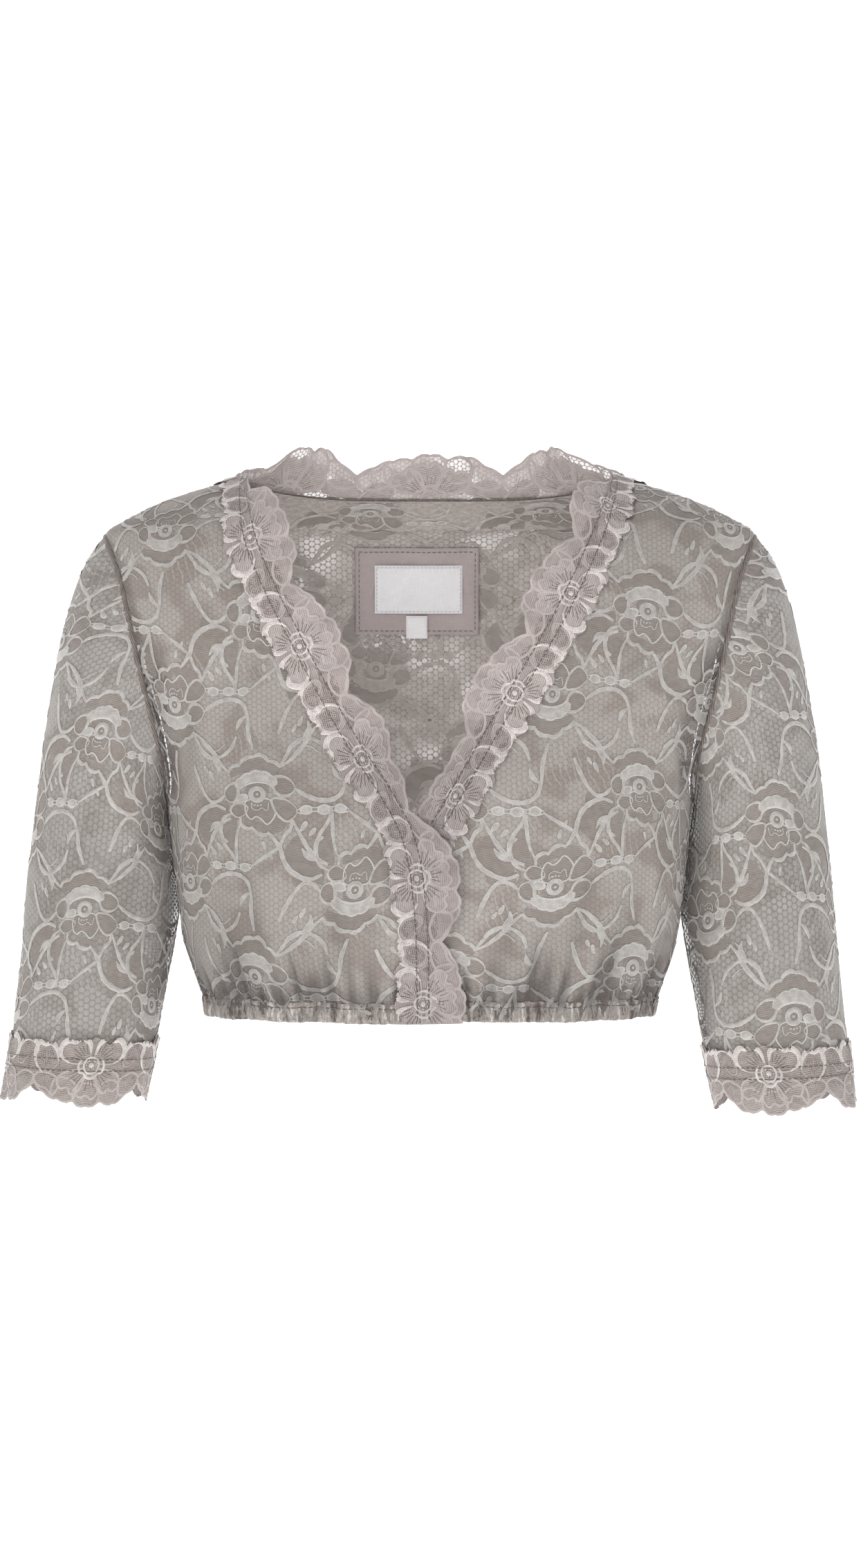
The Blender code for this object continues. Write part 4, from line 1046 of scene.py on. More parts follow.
    # thin threads beside the cords
    f.ribbon([(17.6, 16.4), (22.0, 20.4), (27.2, 25.6), (33.6, 26.6), (39.0, 22.4)], 0.28, **thin)
    f.ribbon([(-20.6, 14.6), (-26.4, 19.4), (-29.6, 25.4), (-36.8, 30.4), (-41.0, 34.0)], 0.28, **thin)
    # tapering drops in threes, and small leaves
    for x, y, rx, ry, turn in ((26.4, -20.2, 1.5, 3.6, -36), (31.4, -23.4, 1.3, 3.1, -44), (36.0, -27.4, 1.0, 2.5, -52),
                               (-29.8, 13.2, 1.4, 3.4, 24), (-33.8, 17.2, 1.2, 2.8, 30), (2.8, -31.6, 1.1, 2.8, 20),
                               (6.8, -37.6, 1.0, 2.4, 26)):
        f.oval(x, y, rx, ry, turn, DENSE, 0.26, pinch=0.28)
    f.ribbon([(30.6, 31.6, 0.4), (34.6, 36.4, 1.7), (34.0, 42.4, 0.4)], slot=DENSE, h=0.26)
    f.ribbon([(52.8, 4.4, 0.4), (48.2, 8.6, 1.6), (46.4, 14.0, 0.4)], slot=DENSE, h=0.26)
    f.ribbon([(-24.4, -16.6, 0.4), (-30.2, -18.8, 1.6), (-33.8, -23.6, 0.4)], slot=DENSE, h=0.26)
    # browner worked net in the cells beside the flower
    f.fill([(-20, -3), (-26, -5), (-32, -5), (-37, -1), (-39, -8), (-34, -16), (-27, -17), (-20, -12)], WEAVE, 0.035, step=2.6)
    f.fill([(-14, -15), (-16, -26), (-17, -36), (-22, -31), (-24, -22), (-21, -15)], WEAVE, 0.035, step=2.6)
    f.fill([(15, -34), (20, -27), (24, -25), (29, -33), (35, -39), (34, -47), (26, -47.5), (19, -43)], WEAVE, 0.035, step=2.6)
    return f.done()


FLOWER = body_flower()


def lay_out(region, origin):
    """All flowers that reach a region of the cloth, given as low and high corner in mm."""
    (x0, y0), (x1, y1) = region
    copies = []
    for i in range(int((x0 - origin[0]) // TILE_W) - 1, int((x1 - origin[0]) // TILE_W) + 3):
        for j in range(int((y0 - origin[1]) // TILE_H) - 1, int((y1 - origin[1]) // TILE_H) + 3):
            ox, oy = origin[0] + i * TILE_W, origin[1] + j * TILE_H
            copies.append((ox, oy, 1.0))
            copies.append((ox + TILE_W / 2, oy + TILE_H / 2, -1.0))
    return copies


def bend_cloth(xy, seed, amount=3.4):
    """The lace never lies quite straight: a slow drift of a few millimetres."""
    x, y = xy[:, 0], xy[:, 1]
    dx = amount * (np.sin(x / 31 + y / 47 + seed) * 0.6 + np.sin(y / 23 - x / 61 + 2.1 * seed) * 0.7)
    dy = amount * (np.sin(y / 37 - x / 29 + 1.7 * seed) * 0.6 + np.sin(x / 26 + y / 71 + 0.6 * seed) * 0.6)
    return np.stack([x + dx, y + dy], 1)


def lace_object(name, figure, copies, inside, place, materials, seed=0.0, bent=3.4, h_scale=1.0, flip=False, dim=None):
    """Carries copies of a figure onto the cloth and keeps what lies inside."""
    xy_all, h_all, a_all, q_all, qs_all, t_all, ts_all = [], [], [], [], [], [], []
    count = 0
    for ox, oy, sign in copies:
        xy = bend_cloth(np.array([ox, oy]) + figure.xy * np.array([1.0, sign]), seed, bent)
        ok = inside(xy[:, 0] / 1000, xy[:, 1] / 1000)
        if not ok.any():
            continue
        keep_q = ok[figure.quads].all(1)
        keep_t = ok[figure.tris].all(1) if len(figure.tris) else np.zeros(0, bool)
        used = np.zeros(len(xy), bool)
        used[figure.quads[keep_q].ravel()] = True
        if keep_t.any():
            used[figure.tris[keep_t].ravel()] = True
        if not used.any():
            continue
        number = np.cumsum(used) - 1 + count
        xy_all.append(xy[used])
        h_all.append(figure.h[used])
        a_all.append(figure.across[used])
        turn = slice(None, None, int(sign))
        q_all.append(number[figure.quads[keep_q]][:, turn])
        qs_all.append(figure.quad_slots[keep_q])
        t_all.append(number[figure.tris[keep_t]][:, turn])
        ts_all.append(figure.tri_slots[keep_t])
        count += int(used.sum())
    xy = np.vstack(xy_all)
    h = np.concatenate(h_all)
    quads, tris = np.vstack(q_all), np.vstack(t_all)
    if flip:
        quads, tris = quads[:, ::-1], tris[:, ::-1]
    p, n = place(xy[:, 0] / 1000, xy[:, 1] / 1000, h * h_scale / 1000)
    shade = dim(xy[:, 0] / 1000, xy[:, 1] / 1000) if dim else np.zeros(len(xy))
    return build_mesh(name, p, [quads, tris], xy / 1000, np.concatenate(qs_all + ts_all), materials,
                      {"across": np.concatenate(a_all), "shade": shade})


LACE_SLOTS = [MAT["cord"], MAT["dense"], MAT["weave"], MAT["thin"]]
BACK_SLOTS = [MAT["cord"], MAT["dense"], MAT["back_weave"], MAT["thin"]]
pieces = {}


def own(ob, node=None, slot_name=None):
    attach(ob, "root")
    if node:
        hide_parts(node)
    pieces[ob.name] = ob
    return ob


# ------------------------------------------------------------ body panels
LOWER = {-1: 0.23, 1: 0.12}   # shade of the lower fronts, right and left


def rows_of_z(top, bottom, count):
    """Heights from top to bottom with equal steps of cloth."""
    runs = np.linspace(run_of_z(top), run_of_z(bottom), count)
    return z_of_run(runs)


def front_shell(sign, inset):
    z = rows_of_z(SIDE_START, CASING_TOP + 0.0002, 150)
    edge = edge_left(z) if sign > 0 else edge_right(z)
    s_in = around_of_x(edge, z)
    s_out = sign * outer_limit(z, True)
    share = np.linspace(0, 1, 92)
    s = s_in[:, None] + (s_out - s_in)[:, None] * share[None, :]
    zz = np.broadcast_to(z[:, None], s.shape)
    p, n = body_point(s, zz, True, inset)
    uv = np.stack([s, run_of_z(zz)], -1)
    from_side = np.abs(s_out)[:, None] - np.abs(s)
    # the open side lets the net open and also paints it darker: painted shade by the side seam under the sleeve
    open_and_shaded_side = smoothstep(0.034, 0.016, from_side) * smoothstep(-0.095, -0.125, zz)
    shade = fold_shade(theta_of_around(s, zz, True), zz)
    shade = np.clip(shade + 0.75 * smoothstep(0.030, 0.0, from_side) * smoothstep(-0.060, -0.150, zz)
                    + 0.52 * smoothstep(0.0105, 0.0030, from_side) * smoothstep(-0.030, -0.040, zz)
                    + LOWER[sign] * smoothstep(-0.110, -0.190, zz), 0, 1)
    name = "front_left_cloth" if sign > 0 else "front_right_cloth"
    return grid_object(name, p, uv, MAT["front"], {"open": open_and_shaded_side, "shade": shade}, flip=sign < 0)


def back_top(share):
    return BACK_NECK + (SIDE_START - BACK_NECK) * smoothstep(0.25, 1.0, share)


def back_shell():
    share = np.linspace(-1, 1, 189)
    top = back_top(np.abs(share))
    v = np.linspace(0, 1, 150)
    run_top, run_low = run_of_z(top), run_of_z(CASING_TOP + 0.0002)
    runs = run_top[None, :] + (run_low - run_top)[None, :] * v[:, None]
    zz = z_of_run(runs)
    s = share[None, :] * outer_limit(zz, False)
    p, n = body_point(s, zz, False)
    uv = np.stack([s, run_of_z(zz)], -1)
    shade = fold_shade(theta_of_around(s, zz, False), zz)
    return grid_object("back_cloth", p, uv, MAT["back"], {"shade": shade}, flip=True)


front_right = own(front_shell(-1, False), "front_right", "lace_front")
front_left = own(front_shell(1, True), "front_left", "lace_front")
back = own(back_shell(), "back", "lace_back")


def casing_offset(z):
    """The cloth steps out over the elastic."""
    return 0.0009 * smoothstep(CASING_TOP + 0.0012, CASING_TOP - 0.0008, z)


def front_inside(sign):
    def inside(s, v):
        z = z_of_run(v)
        edge = around_of_x(edge_left(z) if sign > 0 else edge_right(z), z)
        out = outer_limit(z, True)
        return (sign * s > sign * edge) & (np.abs(s) < out - 0.0004) & (v < run_of_z(SIDE_START)) & (v > run_of_z(HEM + 0.0006))
    return inside


def back_inside(s, v):
    z = z_of_run(v)
    out = outer_limit(z, False)
    share = np.clip(np.abs(s) / out, 0, 1)
    return (np.abs(s) < out - 0.0004) & (v < run_of_z(back_top(share))) & (v > run_of_z(HEM + 0.0006))


def front_place(inset):
    def place(s, v, h):
        z = z_of_run(v)
        return body_point(s, z, True, inset, h + casing_offset(z))
    return place


def back_place(s, v, h):
    z = z_of_run(v)
    return body_point(s, z, False, False, h + casing_offset(z))


def body_dim(front):
    def dim(s, v):
        z = z_of_run(v)
        shade = 0.8 * fold_shade(theta_of_around(s, z, front), z)
        if front:
            side = outer_limit(z, True) - np.abs(s)
            shade = shade + 0.55 * smoothstep(0.030, 0.0, side) * smoothstep(-0.060, -0.150, z)
            shade = shade + np.where(s < 0, LOWER[-1], LOWER[1]) * smoothstep(-0.110, -0.190, z)
        return np.clip(shade, 0, 1)
    return dim


# a flower is set where one shows best on each panel, the rest follow from it
def flower_at(x, z):
    return float(around_of_x(np.array(x), np.array(z))) * 1000, float(run_of_z(z)) * 1000


reg = ((-230, 0), (0, float(RUN[-1]) * 1000))
front_right_lace = own(lace_object("front_right_lace", FLOWER, lay_out(reg, flower_at(-0.103, -0.192)), front_inside(-1),
                                   front_place(False), LACE_SLOTS, 0.4, dim=body_dim(True)), None, "lace_front")
reg = ((-20, 0), (230, float(RUN[-1]) * 1000))
front_left_lace = own(lace_object("front_left_lace", FLOWER, lay_out(reg, flower_at(0.129, -0.082)), front_inside(1),
                                  front_place(True), LACE_SLOTS, 1.9, dim=body_dim(True)), None, "lace_front")
reg = ((-230, 0), (230, float(RUN[-1]) * 1000))
back_lace = own(lace_object("back_lace", FLOWER, lay_out(reg, (24.0, float(run_of_z(-0.165)) * 1000)), back_inside,
                            back_place, BACK_SLOTS, 3.1, flip=True, dim=body_dim(False)), None, "lace_back")


# ------------------------------------------------------------ sleeves
def sleeve_shade(k):
    """The side next to the body lies in its shade."""
    return 0.50 * smoothstep(6.6, 9.2, np.abs(k)) + 0.10 * smoothstep(1.5, 0.0, np.abs(k))


def make_sleeve(sign):
    sl = sleeves[sign]
    side = "left" if sign > 0 else "right"
    step_t, step_k = 1, 2
    p = sl.p[::step_t, ::step_k]
    uv = np.stack([sl.u, sl.v], -1)[::step_t, ::step_k]
    kk = np.broadcast_to(KS[::step_k][None, :], sl.u[::step_t, ::step_k].shape)
    shade = sleeve_shade(kk)
    # bare opens the inner edge next to the body and also paints its net darker as painted shade
    bare = smoothstep(8.3, 9.3, np.abs(kk))
    cloth = grid_object(f"sleeve_{side}_cloth", p, uv, MAT["sleeve"], {"shade": shade, "open": bare}, flip=sign > 0)
    own(cloth, f"sleeve_{side}", "lace_sleeve")
    reg = ((-190, -5), (190, 360))
    origin = (62.0, 148.0) if sign > 0 else (70.0, 205.0)
    lace = lace_object(f"sleeve_{side}_lace", FLOWER, lay_out(reg, origin), sl.inside, sl.point, LACE_SLOTS,
                       4.2 if sign > 0 else 5.3, flip=sign < 0, dim=lambda u, v: 0.8 * sleeve_shade(sl.tk(u, v)[1]))
    own(lace, None, "lace_sleeve")
    return cloth, lace


sleeve_cloth = {}
sleeve_lace = {}
for sign in (1, -1):
    sleeve_cloth[sign], sleeve_lace[sign] = make_sleeve(sign)


# ------------------------------------------------------------ casings
def make_casing(name, s_low, s_high, front, inset, node):
    """Elastic casing: outer face, lower fold and inner face, gathered finely."""
    count = int(abs(s_high - s_low) / 0.0014)
    share = np.linspace(0, 1, count)
    profile = []  # z, offset from the form
    for z, off in ((CASING_TOP + 0.0004, 0.0001), (CASING_TOP - 0.0010, 0.0006), (-0.3212, 0.0004), (-0.3240, 0.0009),
                   (-0.3270, 0.0010), (-0.3292, 0.0008), (-0.3302, 0.0002), (-0.3304, -0.0007), (-0.3296, -0.0015),
                   (-0.3270, -0.0019), (-0.3230, -0.0019), (-0.3190, -0.0017)):
        profile.append((z, off))
    q0 = float(quarter(CASING_TOP, front))
    rows, uvs = [], []
    for i, (z, off) in enumerate(profile):
        scale = float(quarter(z, front)) / q0
        s = (s_low + (s_high - s_low) * share) * scale
        arc = (s_low + (s_high - s_low) * share) * 1000
        wob = (np.sin(arc * 0.83 + 0.3 * np.sin(arc * 0.21)) * 0.5 + np.sin(arc * 1.31 + 1.3) * 0.35
               + np.sin(arc * 0.37 + 0.6) * 0.4)
        sign_off = 1.0 if off > -0.0008 else -0.25
        p, n = body_point(s, np.full(count, z), front, inset)
        gather = 0.00075 * wob * sign_off * (0.4 if abs(z + 0.3212) < 0.0004 else 1.0)
        rows.append(p + n * (off + 0.0003 + gather)[:, None])
        uvs.append(np.stack([s, np.full(count, 0.001 * i * 1.6)], -1))
    ob = grid_object(name, np.stack(rows), np.stack(uvs), MAT["casing"], {}, flip=(s_high < s_low) if front else True)
    return own(ob, node, "elastic_casing")


edge_r = float(around_of_x(edge_right(CASING_TOP), np.array(CASING_TOP)))
edge_l = float(around_of_x(edge_left(CASING_TOP), np.array(CASING_TOP)))
side_f = float(quarter(CASING_TOP, True)) - 0.0003
side_b = float(quarter(CASING_TOP, False)) - 0.0003
hem_right = make_casing("hem_right_cloth", edge_r, -side_f, True, False, "hem_right")
hem_left = make_casing("hem_left_cloth", edge_l, side_f, True, True, "hem_left")
hem_back = make_casing("hem_back_cloth", -side_b, side_b, False, False, "hem_back")


# ------------------------------------------------------------ trims
class Strip:
    """A trim as a table over length (a) and reach across (b)."""

    def widths(self, a):
        """Free and sewn reach at places along the trim, with their fine scallops."""
        along = (self.start + a / self.repeat) % 1.0
        free, sewn = lobed(along, trim_free(along), trim_sewn(along))
        at = np.arange(len(self.p)) * self.step
        if hasattr(self, "scale_at"):
            free = free * np.interp(a, at, self.scale_at) + np.interp(a, at, self.extra_at)
        return free, sewn

    def squeezed(self, a, b):
        """Carries the free side of a figure into a narrower reach."""
        if not hasattr(self, "scale_at"):
            return b
        at = np.arange(len(self.p)) * self.step
        along = (self.start + a / self.repeat) % 1.0
        full = trim_free(along)
        now = full * np.interp(a, at, self.scale_at) + np.interp(a, at, self.extra_at)
        return np.where(b > 0, b * np.clip(now / full, 0.1, 1.5), b)

    def dim(self, a):
        """The lower centre front lies a little in the shade."""
        if not hasattr(self, "dim_at"):
            return np.zeros(np.shape(a))
        return np.interp(a, np.arange(len(self.p)) * self.step, self.dim_at)

    def point(self, a, b, h=0.0):
        fa = np.clip(a / self.step, 0, len(self.p) - 1.001)
        fb = np.clip((b - self.low) / self.step_b, 0, self.p.shape[1] - 1.001)
        i, j = fa.astype(int), fb.astype(int)
        x, y = (fa - i)[..., None], (fb - j)[..., None]

        def at(t):
            return ((1 - x) * (1 - y) * t[i, j] + (1 - x) * y * t[i, j + 1]
                    + x * (1 - y) * t[i + 1, j] + x * y * t[i + 1, j + 1])
        n = unit(at(self.n))
        return at(self.p) + n * np.asarray(h)[..., None], n


def resample(points, step):
    length = np.concatenate([[0], np.cumsum(np.linalg.norm(np.diff(points, axis=0), axis=1))])
    count = max(4, int(round(length[-1] / step)))
    at = np.linspace(0, length[-1], count + 1)
    return np.stack([np.interp(at, length, points[:, k]) for k in range(3)], 1), length[-1]


def blur(v, times):
    for _ in range(times):
        w = v.copy()
        w[1:-1] = 0.25 * v[:-2] + 0.5 * v[1:-1] + 0.25 * v[2:]
        v = w
    return v


def ruffle(a, b, seed):
    """The free side waves a little more towards its edge."""
    ends = smoothstep(0.0, 0.014, np.minimum(a, np.max(a) - a))
    reach = ends * np.clip(b / 0.024, 0, 1) ** 1.4
    mm = a * 1000
    return reach * (0.0012 * np.sin(mm / 4.3 + seed) + 0.0009 * np.sin(mm / 7.1 + 2.2 * seed) + 0.0005 * np.sin(mm / 2.3))


class NeckStrip(Strip):
    def __init__(self, line, inward, inset, start, lift, repeat, seed):
        pts, self.length = resample(line, 0.0015)
        self.step = self.length / (len(pts) - 1)
        self.start, self.repeat = start, repeat
        tangent = unit(blur(np.gradient(pts, axis=0), 6))
        n = normal_at(pts)
        cross = unit(np.cross(tangent, n))
        wrong = (cross * inward(pts)).sum(-1) < 0
        cross[wrong] *= -1
        cross = unit(blur(cross, 10))
        x, y, z = pts.T
        side = smoothstep(0.055, 0.108, np.abs(x))
        up = np.stack([-0.50 * side * np.sign(x), -0.12 * (1 - side), 0.84 + 0.16 * (1 - side)], -1)
        stand = np.where(y < 0, smoothstep(-0.060, 0.002, z), 1.0)
        free = unit(cross * (1 - stand)[:, None] + unit(up) * stand[:, None])
        fn = np.where((stand < 0.01)[:, None], n, unit(np.cross(tangent, free)))
        flip = (fn * n).sum(-1) < 0
        fn[flip] *= -1
        fn = unit(blur(fn, 6))
        self.tuck = np.where(y < 0, 1 - 0.42 * smoothstep(-0.158, -0.182, z) * (1 - smoothstep(-0.205, -0.232, z)), 1.0)
        # narrow over the shoulder seam, tallest just behind it
        self.scale_at = np.where(y < 0, self.tuck * (1 - 0.80 * smoothstep(-0.026, -0.003, z)), 1.0)
        self.extra_at = np.where(y < 0, 0.0, 0.003 + 0.0045 * smoothstep(0.045, 0.070, np.abs(x))
                                 - 0.0135 * smoothstep(0.100, 0.112, np.abs(x)))
        from_end = np.arange(len(pts)) * self.step
        from_end = np.where(y < 0, from_end, np.minimum(from_end, self.length - from_end))
        taper = 0.12 + 0.88 * smoothstep(0.0, 0.012, from_end)
        self.scale_at, self.extra_at = self.scale_at * taper, self.extra_at * taper
        self.dim_at = np.where(y < 0, 0.46 * smoothstep(-0.130, -0.190, z), 0.0)
        self.low, self.step_b = -0.020, 0.001
        reach = self.low + self.step_b * np.arange(60)
        a = np.arange(len(pts)) * self.step
        p = np.zeros((len(pts), len(reach), 3))
        nn = np.zeros_like(p)
        for j, b in enumerate(reach):
            if b < 0:
                base = onto_form(pts + cross * b)
                normal = normal_at(base)
                blend = smoothstep(-0.004, 0.0, b)
                normal = unit(normal * (1 - 0.5 * blend) + fn * 0.5 * blend)
            else:
                base = pts + free * b
                soft = onto_form(base.copy())
                share = np.clip(1 - 2 * stand, 0, 1)[:, None]
                base = base * (1 - share) + soft * share
                f = smoothstep(0.0, 0.005, b)
                normal = unit(unit(n + fn) * (1 - f) + fn * f)
            drop = (inset_left(base) if inset else 0.0) - lift(base)
            off = LIE + 0.5 * TRIM_WALL - drop + ruffle(a, b, seed)
            # follow the creases of the cloth where the trim is sewn down
            if b < 0.010:
                theta = np.arctan2(base[:, 0] / half_width(base[:, 2]), -base[:, 1] / 0.1)
                off = off - 0.6 * creases(theta, base[:, 2]) * (y < 0)
            p[:, j] = base + normal * off[:, None]
            nn[:, j] = normal
        self.p, self.n = p, nn


def lobed(along, free, sewn):
    """Fine scallops on both edges of the trim."""
    small = np.abs(np.sin(along * math.pi * 8))
    return free * (0.95 + 0.06 * small), sewn * (0.94 + 0.10 * np.abs(np.sin(along * math.pi * 6 + 0.6)))


def strip_cloth(name, strip, node, closed=False, rows=30, material=None):
    count = int(strip.length / 0.0012)
    a = np.linspace(0, strip.length, count)
    free, sewn = strip.widths(a)
    v = np.linspace(0, 1, rows)
    b = -sewn[:, None] + (free + sewn)[:, None] * v[None, :]
    aa = np.broadcast_to(a[:, None], b.shape)
    p, n = strip.point(aa, b)
    uv = np.stack([aa, b], -1)
    ob = grid_object(name, p, uv, material or MAT["trim_ground"], {"shade": strip.dim(aa)}, flip=strip.flip)
    return own(ob, node, "trim_lace")


T_CORD, T_SOFT, T_PETAL, T_DOTS, T_STITCH, T_VEIN = range(6)
TRIM_SLOTS = [MAT["trim_cord"], MAT["trim_soft"], MAT["trim_petal"], MAT["trim_dots"], MAT["stitch"], MAT["trim_vein"]]


def veins(f, cx, cy, x, y, count, spread, h, slot=None, half=0.26):
    """Short dark rows that fan from a middle towards the rim of a petal."""
    reach, turn = math.hypot(x - cx, y - cy), math.atan2(y - cy, x - cx)
    for i in range(count):
        a = turn + math.radians(spread) * ((i + 0.5) / count - 0.5)
        r0, r1 = reach * (0.38 + 0.05 * (i % 2)), reach * (0.80 - 0.07 * (i % 3))
        bend = 0.10 * (i - count / 2)
        f.ribbon([(cx + r * math.cos(a + bend * (r - r0) / reach), cy + r * math.sin(a + bend * (r - r0) / reach), half)
                  for r in (r0, (r0 + r1) / 2, r1)], slot=T_VEIN if slot is None else slot, h=h, dome=0.02, step=1.3)


def trim_figure():
    """One repeat of the trim, in mm: x along it, y across it, + is the free side.  The flower is at 0, 0."""
    f = Figure()
    # worked net on the sewn side and between the flowers
    f.fill([(19, 3), (22, 8), (28, 10), (35, 9), (40, 5), (44, 0), (42, -6), (40, -14), (34, -2), (26, 1)], T_DOTS, 0.05)
    f.fill([(-19, 3), (-22, 8), (-29, 9), (-35, 5), (-38, 0), (-40, -8), (-33, -2), (-24, -2)], T_DOTS, 0.05)
    # sheer lobes of the free side, each with a soft band along its rim
    for pts in (
        [(-37, 6), (-39, 10), (-34, 13.6), (-28, 15), (-23.5, 18.6), (-20, 14), (-22, 8), (-30, 5)],
        [(-22, 8), (-24.5, 17), (-20, 22.6), (-14, 23.4), (-9, 20.6), (-7.5, 14), (-13, 9)],
        [(-9, 14), (-9, 21), (-4, 25.6), (2, 26.2), (7, 23), (8, 15), (0, 11)],
        [(8, 13), (8.6, 20.8), (13.6, 23.6), (19, 22.8), (22.5, 18), (21, 11), (14, 9)],
        [(21, 10), (23, 17.4), (28, 18.4), (33, 14.6), (37, 11.6), (38, 7), (30, 5)],
    ):
        f.ribbon([(x, y, 0.75) for x, y in pts], closed=True, slot=T_SOFT, h=0.10, dome=0.14)
        mid = np.mean(pts, 0)
        low = np.array(pts[-1]) * 0.5 + np.array(pts[0]) * 0.5
        top = mid + (mid - low) * 0.55
        veins(f, low[0], low[1] - 3, top[0], top[1], 4, 42, 0.10, T_SOFT, 0.26)
    # soft petals of the flower on the free side
    for pts, w in ((((-3, 2.5), (-9, 3.0), (-17, 4.5), (-21.5, 9.5), (-18.5, 14.4), (-13.8, 13.6), (-11.5, 17.6), (-5.6, 14.4)), 0.8),
                   (((0, 4.6), (-5.2, 9), (-8.4, 16.0), (-4.6, 19.8), (-0.8, 18.2), (3.0, 20.6), (6.8, 16.0), (4, 9)), 0.8),
                   (((3.4, 3), (5.8, 12), (10.6, 17.2), (13.4, 14.6), (18, 15.6), (21.5, 11.0), (18.4, 5.0), (9.5, 2.6)), 0.8)):
        f.fill(pts, T_PETAL, 0.20)
        f.ribbon([(x, y, w) for x, y in pts], closed=True, slot=T_SOFT, h=0.30, dome=0.22)
        mid = np.mean(pts, 0)
        veins(f, 0, 0, 1.35 * mid[0], 1.35 * mid[1], 6, 54, 0.26, T_VEIN, 0.20)
    # leaves between the flowers on the sewn side: dotted middle, light rows, one heavy edge
    leaves = (
        (((22.0, -3.4), (24.0, -10.2), (29.6, -14.4), (36.6, -13.4), (39.8, -8.6), (37.4, -4.0), (31.6, -3.4), (28.0, 0.2),
          (23.6, 0.6)),
         ((21.8, -2.8, 0.5), (23.8, -10.4, 1.3), (29.6, -15.0, 1.9), (36.8, -13.8, 1.7), (40.2, -8.6, 1.1), (37.8, -4.0, 0.5)),
         (29.6, -1.0), (31.0, -13.0)),
        (((-21.8, -2.4), (-23.8, -8.6), (-28.0, -12.6), (-32.0, -11.0), (-36.8, -12.2), (-39.4, -6.6), (-37.0, 0.6),
          (-31.0, 5.4), (-25.0, 3.2)),
         ((-21.6, -2.2, 0.5), (-23.8, -9.0, 1.3), (-28.2, -13.2, 1.8), (-32.0, -11.4, 1.1), (-36.8, -12.8, 1.7),
          (-39.8, -6.6, 1.4), (-37.4, 0.8, 0.9), (-31.4, 5.8, 0.5)),
         (-27.6, 3.6), (-32.0, -9.6)),
    )
    for outline, heavy, root, tip in leaves:
        f.fill(outline, T_PETAL, 0.14)
        mid = np.mean(outline, 0)
        f.fill([(mid[0] + 0.66 * (x - mid[0]), mid[1] + 0.66 * (y - mid[1])) for x, y in outline], T_DOTS, 0.18)
        veins(f, root[0], root[1], tip[0], tip[1], 7, 70, 0.26, T_SOFT, 0.22)
        f.ribbon([(x, y, 0.42) for x, y in outline], closed=True, slot=T_SOFT, h=0.30, dome=0.24, step=0.9)
        f.ribbon(heavy, slot=T_CORD, h=0.36, dome=0.44, step=0.9)
    # two full petals on the sewn side, with a lobed heavy edge
    petals = (
        (((-2.4, -2.2), (-8.0, -0.8), (-15.0, -1.6), (-20.2, -5.8), (-20.2, -11.4), (-15.8, -14.6), (-11.6, -13.0), (-7.6, -16.0),
          (-2.8, -13.0), (-1.2, -7.4)),
         (((-14.6, -1.2, 0.5), (-20.4, -5.4, 1.2), (-20.8, -11.4, 1.7), (-16.2, -15.0, 1.9), (-11.6, -13.2, 1.1)),
          ((-12.2, -13.6, 1.1), (-7.8, -16.6, 1.8), (-2.8, -13.6, 1.6), (-1.4, -8.0, 0.6)))),
        (((2.0, -2.4), (1.8, -8.0), (4.4, -13.6), (9.0, -16.2), (13.2, -14.2), (17.4, -14.8), (21.0, -10.4), (19.8, -5.4),
          (14.6, -1.4), (8.0, -0.8)),
         (((1.6, -6.8, 0.6), (4.0, -13.6, 1.5), (9.0, -16.8, 1.8), (13.4, -14.6, 1.1)),
          ((12.8, -14.6, 1.1), (17.6, -15.4, 1.8), (21.6, -10.6, 1.8), (20.4, -5.2, 1.1), (14.8, -1.0, 0.5)))),
    )
    for outline, edges in petals:
        f.fill(outline, T_PETAL, 0.22)
        mid = np.mean(outline, 0)
        veins(f, 0, 0, 1.5 * mid[0], 1.5 * mid[1], 7, 60, 0.30, T_VEIN, 0.22)
        f.ribbon([(x, y, 0.5) for x, y in outline], closed=True, slot=T_SOFT, h=0.36, dome=0.24, step=0.9)
        for heavy in edges:
            f.ribbon(heavy, slot=T_CORD, h=0.42, dome=0.46, step=0.9)
    # inner scallop of cord that ties the petals round the ring
    f.ribbon([(-6.4, -3.6, 0.5), (-8.4, 0.4, 0.8), (-6.8, 4.6, 0.9), (-4.4, 4.4, 0.5)], slot=T_CORD, h=0.46, dome=0.34)
    f.ribbon([(-4.8, 4.6, 0.5), (-2.0, 7.6, 0.9), (2.2, 7.4, 0.9), (4.6, 4.8, 0.5)], slot=T_CORD, h=0.46, dome=0.34)
    f.ribbon([(4.4, 4.8, 0.5), (7.4, 4.0, 0.9), (8.4, -0.6, 0.8), (6.2, -4.4, 0.5)], slot=T_CORD, h=0.46, dome=0.34)
    # ring with dark dots
    f.oval(0, 0, 4.9, 4.9, 0, T_DOTS, 0.50, dome=0.1, rim=0.0)
    f.ribbon([(4.9 * math.cos(a), 4.9 * math.sin(a)) for a in np.linspace(0, 2 * math.pi, 13)[:-1]], 0.62, closed=True,
             slot=T_CORD, h=0.56, dome=0.28, step=0.9)
    f.oval(0, 0, 1.7, 1.5, 0, T_CORD, 0.66, dome=0.3, rim=0.4)
    for a in range(0, 360, 60):
        f.oval(3.2 * math.cos(math.radians(a)), 3.2 * math.sin(math.radians(a)), 0.42, 0.42, 0, T_CORD, 0.60, dome=0.16, rim=0.0)
    return f.done()


TRIM_FLOWER = trim_figure()


def stitches(f, x0, x1, y, slot=T_STITCH, length=2.3, gap=1.1, half=0.30, h=0.78):
    x = x0
    while x + length < x1:
        f.ribbon([(x, y + 0.06 * math.sin(x), half * 0.8), (x + length * 0.5, y, half), (x + length, y + 0.06 * math.sin(x + 1), half * 0.8)],
                 slot=slot, h=h, dome=0.16, step=0.8)
        x += length + gap


